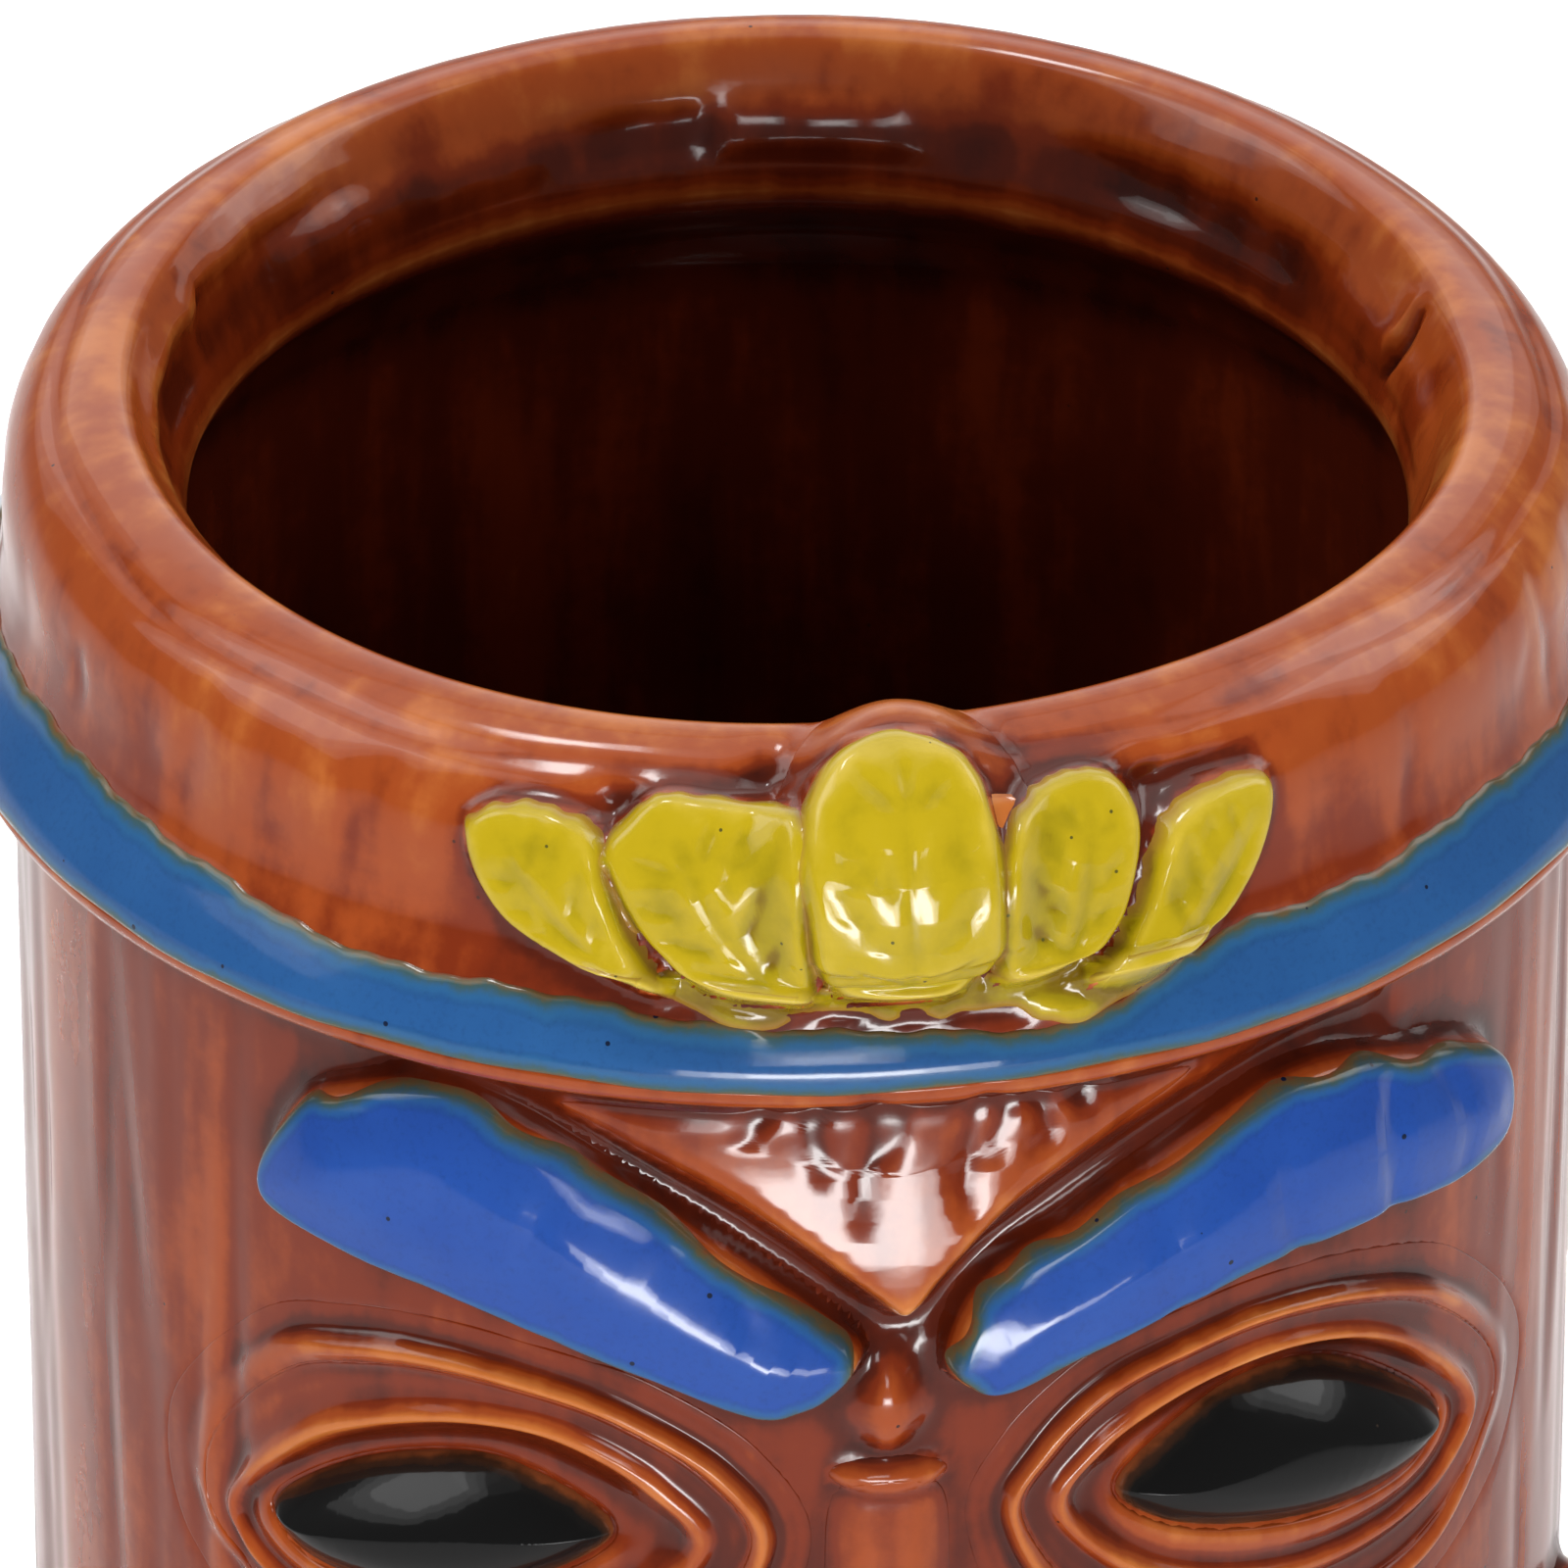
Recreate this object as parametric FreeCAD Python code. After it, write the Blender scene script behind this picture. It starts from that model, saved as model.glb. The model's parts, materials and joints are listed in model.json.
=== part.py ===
import FreeCAD, Part
import math
import os

# A tiki mug: a hollow ceramic cup with a rolled rim, and the relief pieces that are set on it.
# Units are millimetres and degrees. +Z is up, the origin is the centre of the foot, the face looks along -Y.
# Angles go round the mug from the middle of the brows, positive towards +X. A name ending in _left is at -X.

# Driving dimensions of the cup.
RIM_TOP = 150.0          # crest of the rolled rim
WALL = 4.2               # thickness of the fired wall
FACE_R = 40.5            # outside of the wall below the headband
CROWN_R = 40.8           # outside of the wall above the headband
CROWN_BOTTOM = 132.4     # where the crown steps in to the face
SHOULDER_TUBE = 6.0      # outer rounding of the rim
LIP_TOP = (33.4, 1.0)    # top of the slope inside the rim: radius, and how far below the crest
LIP_ROUND = (34.0, 0.3)  # a place on the rounding from there to the crest
NECK_R = 31.2            # narrowest place, the sharp trimmed edge at the bottom of the slope
NECK_DROP = 7.4
NECK_UNDER = (35.1, 9.0) # a place on the hollow under that edge
CAVITY_TOP_DROP = 13.0   # where the inside reaches its full width
FLOOR_Z = 6.0
FLOOR_CORNER = 8.0
FOOT_R = 37.5
FOOT_H = 2.0
FOOT_RING_W = 5.5
FOOT_RING_INSET = 0.8
HEEL = 5.0               # height over which the wall narrows to the foot
HEEL_MIDDLE = (39.7, 4.0)

# The headband, which flares out from the crown, and the thin roll below it.
BAND_BOTTOM = 133.5
BAND_TOP = 138.6
BAND_R = 43.7
BAND_EDGE = 1.2          # height of the band's upright outer edge
BAND_HOLLOW = 0.7        # how far its slope is hollowed
BAND_LAP = 0.4           # how far its upper edge stands out from the crown
ROLL_IN = 0.9            # how far the roll tucks in towards the face
ROLL_MIDDLE = (43.5, 132.8)

# Leaves: middle angle, width, bottom, top and lean to the side.
LEAF_T = 1.6
LEAVES = {
    "leaf_outer_left": (-26.5, 8.6, 139.9, 148.0, -6.0),
    "leaf_inner_left": (-15.3, 8.6, 139.5, 150.0, -3.0),
    "leaf_centre": (-0.9, 10.0, 139.2, 151.9, 0.0),
    "leaf_inner_right": (11.8, 7.4, 139.5, 150.1, 2.5),
    "leaf_outer_right": (22.4, 7.8, 139.9, 147.0, 5.5),
}
STRIP_T = 1.9
STRIP_SPAN = (-27.0, 20.0)
STRIP_H = 2.2
STRIP_BOW = 1.0          # how much higher its ends are than its middle
MOUND_HALF_W = 8.2
MOUND_NARROWING = 0.7    # its foot's share of that width
MOUND_SIDE_DROP = 5.0    # how far below the crest its dome begins
MOUND_RISE = 3.0         # how far above the crest its outline would close
MOUND_T = 1.4

# Brows: a clay ridge with a glazed pad on it.
BROW_OUTER = 47.0
BROW_INNER = 5.0
BROW_OUTER_Z = (121.2, 129.6)
BROW_INNER_Z = (114.8, 118.6)
BROW_PEAK = (33.0, 130.4)
BROW_BEND = (13.0, 3.4)  # the lower edge's bend: how far outwards and upwards of the inner end
BROW_OUTER_BULGE = 2.0
BROW_OUTER_DROP = 2.2    # how far the upper edge has come down where the outer end begins
BROW_INNER_BULGE = 1.4
BROW_RIDGE_T = 1.7
BROW_PAD_T = 1.3
BROW_MARGIN = 0.9

# Eyes: angle and height of each, and half sizes of the almond outlines, nested outwards.
EYES = {"left": (-34.5, 104.2), "right": (31.5, 105.4)}
EYE_HALF = (10.2, 4.2)
LID_IN_HALF = (12.6, 5.9)
LID_OUT_HALF = (15.6, 8.6)
SOCKET_IN_HALF = (16.4, 9.4)
SOCKET_OUT_HALF = (18.2, 11.0)
EYE_DROOP = 3.0
EYE_BALL_R = 22.0
EYE_T = 2.2
LID_T = 1.8
SOCKET_T = 1.2

# The panel between the brows.
WEDGE_TOP_ANGLE = 19.0
WEDGE_TOP_DROP = 0.6     # how far below the crown it starts
WEDGE_TIP_RISE = 0.8     # how far above the brows' inner ends it stops
WEDGE_TIP_HALF = 0.6
WEDGE_TIP_ROUND = 0.3
WEDGE_GAP = 1.6          # how far it keeps away from the brow pads
WEDGE_T = 1.0

# Nose, mouth and ears. Nose sections: height, radius and how far it stands out.
FACE_MID = -1.6          # the nose and the mouth are turned this far round from the brows' middle
BRIDGE_Z = 110.0
BRIDGE_HALF_W = 3.6
BRIDGE_R = 1.3
BRIDGE_PROUD = 1.6
NOSE_SECTIONS = ((107.5, 3.4, 2.2), (98.0, 4.6, 3.4), (88.0, 6.6, 4.4), (80.5, 6.4, 3.8))
NOSTRIL_ANGLE = 12.0
NOSTRIL_Z = 84.0
NOSTRIL_R = 4.9
NOSTRIL_SQUASH = (1.0, 0.75, 0.85)
MOUTH_Z = 52.0
MOUTH_HALF = (25.5, 16.0)
MOUTH_CORNER = 11.0
LIP_W = 4.6
LIP_T = 2.6
TEETH_PER_ROW = 6
TOOTH_GAP = 0.7
TOOTH_ROW_GAP = 1.8
TOOTH_T = 1.5
EAR_ANGLE = 70.0
EAR_Z = 67.0
EAR_HALF = (7.5, 16.5)
EAR_RIM_W = 3.0
EAR_T = 2.4
EAR_LOBE_GAP = 1.0
EAR_LOBE_SHARE = 0.45    # the lobe's share of the opening's height
EAR_LOBE_T = 1.5

SIDES = {"left": -1, "right": 1}
REACH = 60.0             # longer than any radius of the mug, for cutting solids
UP = FreeCAD.Vector(0, 0, 1)


def point(x, z):
    """A point of an upright drawing plane."""
    return FreeCAD.Vector(x, 0, z)


def below_crest(place):
    """A point given by its radius and its drop below the rim's crest, as radius and height."""
    return place[0], RIM_TOP - place[1]


def line(a, b):
    return Part.LineSegment(point(*a), point(*b)).toShape()


def arc(a, middle, b):
    return Part.Arc(point(*a), point(*middle), point(*b)).toShape()


def on_circle(centre, radius, angle):
    """The point of a circle in the drawing plane at that angle above the outward direction."""
    turn = math.radians(angle)
    return centre[0] + radius * math.cos(turn), centre[1] + radius * math.sin(turn)


def revolved(edges):
    """The solid of revolution about Z of a closed outline given as radius and height."""
    face = Part.Face(Part.Wire(edges))
    return face.revolve(FreeCAD.Vector(0, 0, 0), UP, 360)


def annulus(inner, outer, bottom, top):
    """A ring between two radii."""
    height = top - bottom
    base = FreeCAD.Vector(0, 0, bottom)
    ring = Part.makeCylinder(outer, height, base)
    return ring.cut(Part.makeCylinder(inner, height, base))


def turned(shape, angle):
    """The shape, drawn on the middle of the face, moved round the mug to that angle."""
    copy = shape.copy()
    copy.rotate(FreeCAD.Vector(0, 0, 0), UP, angle)
    return copy


def prism(edges):
    """A bar along -Y with the outline of these edges, which lie in the drawing plane."""
    face = Part.Face(Part.Wire(Part.__sortEdges__(edges)))
    return face.extrude(FreeCAD.Vector(0, -REACH, 0))


def facing(angle):
    """Where a place at this angle lies in the drawing plane, as a share of the radius."""
    return math.sin(math.radians(angle))


def cup():
    """The cup: wall, floor, rolled rim with its trimmed edge, crown and heel."""
    shoulder = (CROWN_R - SHOULDER_TUBE, RIM_TOP - SHOULDER_TUBE)
    crest = (shoulder[0], RIM_TOP)
    neck = (NECK_R, RIM_TOP - NECK_DROP)
    inner_r = FACE_R - WALL
    cavity_top = RIM_TOP - CAVITY_TOP_DROP
    corner = (inner_r - FLOOR_CORNER, FLOOR_Z + FLOOR_CORNER)
    lip_top = below_crest(LIP_TOP)
    outline = [
        line((0, FLOOR_Z), (corner[0], FLOOR_Z)),
        arc((corner[0], FLOOR_Z), on_circle(corner, FLOOR_CORNER, -45), (inner_r, corner[1])),
        line((inner_r, corner[1]), (inner_r, cavity_top)),
        arc((inner_r, cavity_top), below_crest(NECK_UNDER), neck),
        line(neck, lip_top),
        arc(lip_top, below_crest(LIP_ROUND), crest),
        arc(crest, on_circle(shoulder, SHOULDER_TUBE, 45), (CROWN_R, shoulder[1])),
        line((CROWN_R, shoulder[1]), (CROWN_R, CROWN_BOTTOM)),
        line((CROWN_R, CROWN_BOTTOM), (FACE_R, CROWN_BOTTOM)),
        line((FACE_R, CROWN_BOTTOM), (FACE_R, FOOT_H + HEEL)),
        arc((FACE_R, FOOT_H + HEEL), HEEL_MIDDLE, (FOOT_R, FOOT_H)),
        line((FOOT_R, FOOT_H), (0, FOOT_H)),
        line((0, FOOT_H), (0, FLOOR_Z)),
    ]
    return revolved(outline)


def foot_ring():
    """The bare ring that the mug stands on."""
    return annulus(FOOT_R - FOOT_RING_W, FOOT_R - FOOT_RING_INSET, 0, FOOT_H)


def headband():
    """The band round the crown: a hollow slope above an upright edge."""
    slope_top = (CROWN_R + BAND_LAP, BAND_TOP)
    slope_foot = (BAND_R, BAND_BOTTOM + BAND_EDGE)
    middle = tuple((high + low) / 2 - BAND_HOLLOW for high, low in zip(slope_top, slope_foot))
    return revolved([
        line((CROWN_R, BAND_BOTTOM), (BAND_R, BAND_BOTTOM)),
        line((BAND_R, BAND_BOTTOM), slope_foot),
        arc(slope_foot, middle, slope_top),
        line(slope_top, (CROWN_R, BAND_TOP)),
        line((CROWN_R, BAND_TOP), (CROWN_R, BAND_BOTTOM)),
    ])


def headband_roll():
    """The thin roll of body colour that shows below the band."""
    tuck = BAND_R - ROLL_IN
    return revolved([
        line((CROWN_R, CROWN_BOTTOM), (tuck, CROWN_BOTTOM)),
        arc((tuck, CROWN_BOTTOM), ROLL_MIDDLE, (BAND_R, BAND_BOTTOM)),
        line((BAND_R, BAND_BOTTOM), (CROWN_R, BAND_BOTTOM)),
        line((CROWN_R, BAND_BOTTOM), (CROWN_R, CROWN_BOTTOM)),
    ])


def crown_skin(thickness, start=0.0):
    """A layer over the crown and the rim's outer rounding, from start to thickness above the clay."""
    centre = (CROWN_R - SHOULDER_TUBE, RIM_TOP - SHOULDER_TUBE)
    near, far = SHOULDER_TUBE + start, SHOULDER_TUBE + thickness
    inside = (centre[0] + near, centre[1])
    outside = (centre[0] + far, centre[1])
    outline = [
        line((inside[0], BAND_TOP), (outside[0], BAND_TOP)),
        line((outside[0], BAND_TOP), outside),
        arc(outside, on_circle(centre, far, 45), (centre[0], centre[1] + far)),
        line((centre[0], centre[1] + far), (centre[0], centre[1] + near)),
        arc((centre[0], centre[1] + near), on_circle(centre, near, 45), inside),
        line(inside, (inside[0], BAND_TOP)),
    ]
    return revolved(outline)


def leaf_bar(width, bottom, top, lean):
    """A bar with a leaf's outline: a narrow foot, a full belly and a rounded tip, leaning by lean mm."""
    half, height = width / 2, top - bottom
    curve = Part.BSplineCurve()
    curve.interpolate(
        [
            point(0, bottom),
            point(half * 0.8 + lean * 0.2, bottom + height * 0.3),
            point(half + lean * 0.6, bottom + height * 0.65),
            point(lean * 0.95 + half * 0.2, top),
            point(-half + lean * 0.6, bottom + height * 0.65),
            point(-half * 0.8 + lean * 0.2, bottom + height * 0.3),
        ],
        PeriodicFlag=True,
    )
    return prism([curve.toShape()])


def strip_bar():
    """The outline of the strip under the leaves: a shallow bow, drawn on the middle of the face."""
    left, right = (CROWN_R * facing(angle) for angle in STRIP_SPAN)
    middle = (left + right) / 2
    low, high = BAND_TOP + STRIP_BOW, BAND_TOP + STRIP_H
    return prism([
        arc((left, low), (middle, BAND_TOP), (right, low)),
        line((right, low), (right - STRIP_BOW, high)),
        arc((right - STRIP_BOW, high), (middle, high - STRIP_BOW / 2), (left + STRIP_BOW, high)),
        line((left + STRIP_BOW, high), (left, low)),
    ])


def mound_bar():
    """The outline of the clay mound: a dome above, narrowing to the strip."""
    half, foot_half = MOUND_HALF_W, MOUND_HALF_W * MOUND_NARROWING
    low, high = BAND_TOP + STRIP_H, RIM_TOP - MOUND_SIDE_DROP
    return prism([
        arc((half, high), (0, RIM_TOP + MOUND_RISE), (-half, high)),
        line((-half, high), (-foot_half, low)),
        line((-foot_half, low), (foot_half, low)),
        line((foot_half, low), (half, high)),
    ])


def leaf_spray():
    """The strip, the leaves that spring from it, and the clay mound behind the middle leaf."""
    strip = strip_bar().common(crown_skin(STRIP_T))
    pieces = {"leaf_strip": strip}
    middle_out = sorted(LEAVES, key=lambda name: abs(LEAVES[name][0]))
    bars = {}
    for name in middle_out:
        angle, width, bottom, top, lean = LEAVES[name]
        bar = turned(leaf_bar(width, bottom, top, lean), angle)
        base = MOUND_T if name == "leaf_centre" else 0.0
        leaf = bar.common(crown_skin(base + LEAF_T, base)).cut(strip)
        for other in bars.values():
            leaf = leaf.cut(other)
        pieces[name] = leaf
        bars[name] = bar
    mound = turned(mound_bar(), LEAVES["leaf_centre"][0]).common(crown_skin(MOUND_T)).cut(strip)
    for name, bar in bars.items():
        if name != "leaf_centre":
            mound = mound.cut(bar)
    pieces["leaf_mound"] = mound
    return pieces


def brow_bar(margin):
    """A bar with the outline of the +X brow, its upper edge bent at a peak, grown by margin."""
    outer, inner, peak = (FACE_R * facing(a) for a in (BROW_OUTER, BROW_INNER, BROW_PEAK[0]))
    low, high = BROW_OUTER_Z[0], BROW_OUTER_Z[1] - BROW_OUTER_DROP
    inner_low, inner_high = BROW_INNER_Z
    bend = (inner + BROW_BEND[0], inner_low + BROW_BEND[1])
    inner_bulge = (inner - BROW_INNER_BULGE, (inner_low + inner_high) / 2)
    outline = Part.Wire([
        line((inner, inner_low), bend),
        line(bend, (outer, low)),
        arc((outer, low), (outer + BROW_OUTER_BULGE, (low + high) / 2), (outer, high)),
        line((outer, high), (peak, BROW_PEAK[1])),
        line((peak, BROW_PEAK[1]), (inner, inner_high)),
        arc((inner, inner_high), inner_bulge, (inner, inner_low)),
    ])
    if margin:
        outline = outline.makeOffset2D(margin)
    return prism(outline.Edges)


def mirrored(shape):
    return shape.mirror(FreeCAD.Vector(0, 0, 0), FreeCAD.Vector(1, 0, 0))


def almond_bar(half, side):
    """A bar with a pointed oval outline, its outer end lower, turned to its place beside the nose."""
    angle, height = EYES[side]
    length, rise = half
    bar = prism([
        arc((-length, height), (0, height + rise), (length, height)),
        arc((length, height), (0, height - rise), (-length, height)),
    ])
    bar.rotate(point(0, height), FreeCAD.Vector(0, 1, 0), SIDES[side] * EYE_DROOP)
    return turned(bar, angle)


def almond_ring(outer_half, inner_half, side):
    """A bar with the outline of a band between two almonds."""
    return almond_bar(outer_half, side).cut(almond_bar(inner_half, side))


def face_skin(thickness, start=0.0):
    """A layer over the face's cylinder, from start to thickness above the clay."""
    return annulus(FACE_R + start, FACE_R + thickness, FOOT_H + HEEL, CROWN_BOTTOM)


def eye_dome(side):
    """The ball whose cap is the eye, rising EYE_T above the clay."""
    angle, height = EYES[side]
    ball = Part.makeSphere(EYE_BALL_R, FreeCAD.Vector(0, EYE_BALL_R - FACE_R - EYE_T, height))
    return turned(ball, angle)


def eyes(nose_ridge):
    """Both eyes, their lids and the ridges round their sockets, cut clear of the brows and the nose."""
    wall = Part.makeCylinder(FACE_R, RIM_TOP)
    brow = brow_bar(BROW_MARGIN)
    brows = {"left": mirrored(brow), "right": brow}
    pieces = {}
    for side in SIDES:
        lid = almond_ring(LID_OUT_HALF, LID_IN_HALF, side).common(face_skin(LID_T))
        ridge = almond_ring(SOCKET_OUT_HALF, SOCKET_IN_HALF, side).common(face_skin(SOCKET_T))
        pieces["eye_" + side] = almond_bar(EYE_HALF, side).common(eye_dome(side)).cut(wall)
        pieces["eyelid_" + side] = lid.cut(brows[side])
        pieces["socket_ridge_" + side] = ridge.cut(brows[side]).cut(nose_ridge)
    return pieces


def wedge():
    """The three-cornered forehead panel between the brows."""
    half, tip = FACE_R * facing(WEDGE_TOP_ANGLE), WEDGE_TIP_HALF
    top, bottom = CROWN_BOTTOM - WEDGE_TOP_DROP, BROW_INNER_Z[1] + WEDGE_TIP_RISE
    outline = prism([
        line((-half, top), (half, top)),
        line((half, top), (tip, bottom)),
        arc((tip, bottom), (0, bottom - WEDGE_TIP_ROUND), (-tip, bottom)),
        line((-tip, bottom), (-half, top)),
    ])
    clear = brow_bar(WEDGE_GAP)
    return outline.cut(clear).cut(mirrored(clear)).common(face_skin(WEDGE_T))


def nose():
    """The nose, which widens downwards, and its wings."""
    wall = Part.makeCylinder(FACE_R, RIM_TOP)
    rings = []
    for height, half, proud in NOSE_SECTIONS:
        centre = FreeCAD.Vector(0, half - FACE_R - proud, height)
        rings.append(Part.Wire(Part.makeCircle(half, centre, UP)))
    ridge = Part.makeLoft(rings, True, False).cut(wall)
    squash = FreeCAD.Matrix()
    squash.scale(*NOSTRIL_SQUASH)
    ball = Part.makeSphere(NOSTRIL_R).transformGeometry(squash)
    ball.translate(FreeCAD.Vector(0, -FACE_R, NOSTRIL_Z))
    wing = turned(ball, NOSTRIL_ANGLE).cut(wall).cut(ridge)
    pieces = both_sides("nostril", wing)
    pieces["nose"] = ridge
    return pieces


def bridge():
    """The small cross bar at the top of the nose."""
    y = BRIDGE_R - FACE_R - BRIDGE_PROUD
    left, right = (FreeCAD.Vector(sign * BRIDGE_HALF_W, y, BRIDGE_Z) for sign in SIDES.values())
    bar = Part.makeCylinder(BRIDGE_R, 2 * BRIDGE_HALF_W, left, FreeCAD.Vector(1, 0, 0))
    ends = [Part.makeSphere(BRIDGE_R, end) for end in (left, right)]
    return bar.fuse(ends).removeSplitter().cut(Part.makeCylinder(FACE_R, RIM_TOP))


def mouth_bar(shrink):
    """A bar with the mouth's outline, a rounded box, smaller by shrink all round."""
    half_w, half_h = MOUTH_HALF[0] - shrink, MOUTH_HALF[1] - shrink
    corner = MOUTH_CORNER - shrink
    box = Part.makeBox(2 * half_w, REACH, 2 * half_h, FreeCAD.Vector(-half_w, -REACH, MOUTH_Z - half_h))
    return box.makeFillet(corner, [e for e in box.Edges if e.BoundBox.YLength > 1])


def teeth():
    """Two rows of separate teeth inside the lips."""
    inside = mouth_bar(LIP_W + TOOTH_GAP / 2).common(annulus(FACE_R, FACE_R + TOOTH_T, FOOT_H, CROWN_BOTTOM))
    span = 2 * (MOUTH_HALF[0] - LIP_W)
    pitch = span / TEETH_PER_ROW
    rows = {"upper_teeth": 1, "lower_teeth": -1}
    found = {}
    for name, sign in rows.items():
        row = []
        for i in range(TEETH_PER_ROW):
            left = -span / 2 + i * pitch + TOOTH_GAP / 2
            bottom = MOUTH_Z + TOOTH_ROW_GAP / 2 if sign > 0 else MOUTH_Z - MOUTH_HALF[1]
            height = MOUTH_HALF[1] - TOOTH_ROW_GAP / 2
            box = Part.makeBox(pitch - TOOTH_GAP, REACH, height, FreeCAD.Vector(left, -REACH, bottom))
            row.append(box.common(inside))
        found[name] = Part.makeCompound([s for t in row for s in t.Solids])
    return found


def ellipse_bar(half, z):
    """A bar with an upright oval outline."""
    ring = Part.Ellipse(point(0, z + half[1]), point(half[0], z), point(0, z)).toShape()
    return prism([ring])


def ears():
    """The rim and the lobe of each ear."""
    inner = (EAR_HALF[0] - EAR_RIM_W, EAR_HALF[1] - EAR_RIM_W)
    lobe = (inner[0] - EAR_LOBE_GAP, inner[1] * EAR_LOBE_SHARE)
    rim_solid = ellipse_bar(EAR_HALF, EAR_Z).cut(ellipse_bar(inner, EAR_Z)).common(face_skin(EAR_T))
    lobe_solid = ellipse_bar(lobe, EAR_Z - lobe[1]).common(face_skin(EAR_LOBE_T))
    pieces = {}
    for side, sign in SIDES.items():
        pieces["ear_" + side] = turned(rim_solid, sign * EAR_ANGLE)
        pieces["ear_lobe_" + side] = turned(lobe_solid, sign * EAR_ANGLE)
    return pieces


def both_sides(name, shape):
    """The +X piece and its mirror image."""
    return {name + "_right": shape, name + "_left": mirrored(shape)}


def middle_of_face():
    """The nose, its cross bar, the mouth and the teeth, turned to the middle of the face."""
    pieces = nose()
    pieces["nose_bridge"] = bridge()
    pieces["lips"] = mouth_bar(0).cut(mouth_bar(LIP_W)).common(face_skin(LIP_T))
    pieces.update(teeth())
    return {name: turned(shape, FACE_MID) for name, shape in pieces.items()}


def all_pieces():
    pieces = {
        "mug_body": cup(),
        "foot_ring": foot_ring(),
        "headband": headband(),
        "headband_roll": headband_roll(),
    }
    pieces.update(leaf_spray())
    ridge = brow_bar(BROW_MARGIN).common(face_skin(BROW_RIDGE_T))
    pad = brow_bar(0).common(face_skin(BROW_RIDGE_T + BROW_PAD_T, BROW_RIDGE_T))
    pieces.update(both_sides("brow_ridge", ridge))
    pieces.update(both_sides("brow", pad))
    pieces.update(middle_of_face())
    pieces.update(eyes(pieces["nose"]))
    pieces["forehead_wedge"] = wedge()
    pieces.update(ears())
    return pieces


def main():
    os.makedirs("parts", exist_ok=True)
    for name, shape in all_pieces().items():
        solids = Part.makeCompound(shape.Solids)
        print(f"{name}: {len(shape.Solids)} solids, {solids.Volume:.1f} mm3, valid {solids.isValid()}")
        solids.exportStep(f"parts/{name}.step")


main()
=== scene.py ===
import json
import math

import bmesh
import bpy
import numpy as np
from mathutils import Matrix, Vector


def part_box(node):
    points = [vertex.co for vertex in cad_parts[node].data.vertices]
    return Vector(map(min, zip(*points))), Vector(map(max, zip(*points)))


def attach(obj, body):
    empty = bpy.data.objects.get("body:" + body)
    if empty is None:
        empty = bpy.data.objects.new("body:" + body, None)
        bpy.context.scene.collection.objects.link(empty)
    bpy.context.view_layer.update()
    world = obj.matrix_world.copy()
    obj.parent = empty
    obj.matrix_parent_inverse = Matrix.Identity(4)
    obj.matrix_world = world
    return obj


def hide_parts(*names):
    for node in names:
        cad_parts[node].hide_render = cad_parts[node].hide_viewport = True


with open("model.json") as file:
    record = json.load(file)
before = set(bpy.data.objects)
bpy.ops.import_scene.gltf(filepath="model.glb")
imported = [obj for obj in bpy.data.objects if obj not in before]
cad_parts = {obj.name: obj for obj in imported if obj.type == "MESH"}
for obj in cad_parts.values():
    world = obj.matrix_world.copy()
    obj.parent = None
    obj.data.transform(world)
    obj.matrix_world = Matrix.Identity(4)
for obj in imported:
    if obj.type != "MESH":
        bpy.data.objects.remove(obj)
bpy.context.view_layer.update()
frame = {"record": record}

MM = 0.001
SEED = 7


def limits(node):
    """Lowest and highest corner of a CAD node, in millimetres."""
    low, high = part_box(node)
    return np.array(low) / MM, np.array(high) / MM


def middle(node):
    low, high = limits(node)
    return (low + high) / 2


# Sizes that come from the CAD model.
RIM_TOP = limits("mug_body")[1][2]
CROWN_R = limits("mug_body")[1][0]
FACE_R = CROWN_R - 0.3
BAND_LOW, BAND_HIGH = limits("headband")
BAND_R = BAND_HIGH[0]
ROLL_Z = limits("headband_roll")[0][2]
FOOT_R = limits("foot_ring")[1][0]
FOOT_TOP = limits("foot_ring")[1][2]

# Wall and rim.
ARC_R = 41.0             # radius at which angles are turned into lengths
SHOULDER = 6.0           # outer rounding of the rim
SHOULDER_Z = RIM_TOP - SHOULDER
CREST_R = CROWN_R - SHOULDER
CREASE = (33.0, RIM_TOP - 2.4)     # radius and height where the lip turns inwards
NECK = (31.2, RIM_TOP - 7.4)       # and of the narrowest place below it
CAVITY_R = FACE_R - 4.2
FLOOR_Z = 6.0
RIM_TILT = 0.9           # how much higher the back of the rim is

# The height map.
STEP = 0.25              # its spacing
LIP_DEPTH = 8.0          # how far it reaches down inside the rim
RELIEF_BLUR = 0.14       # how much the glaze rounds off the carving
TINY = 1e-9


def eased(line, passes):
    """The values or points along a line, each averaged with its neighbours; the ends stay."""
    line = line.copy()
    for _ in range(passes):
        line[1:-1] = (line[:-2] + 2 * line[1:-1] + line[2:]) / 4
    return line


def smooth_line(points, step, passes):
    """The polyline sampled every step and rounded at its corners."""
    points = np.array(points, float)
    lengths = np.r_[0, np.cumsum(np.linalg.norm(np.diff(points, axis=0), axis=1))]
    at = np.arange(0, lengths[-1], step)
    return eased(np.stack([np.interp(at, lengths, points[:, k]) for k in (0, 1)], 1), passes)


def arc_points(centre, radius, start, stop, count=9):
    angles = np.radians(np.linspace(start, stop, count))
    return [(centre[0] + radius * math.cos(a), centre[1] + radius * math.sin(a)) for a in angles]


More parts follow.
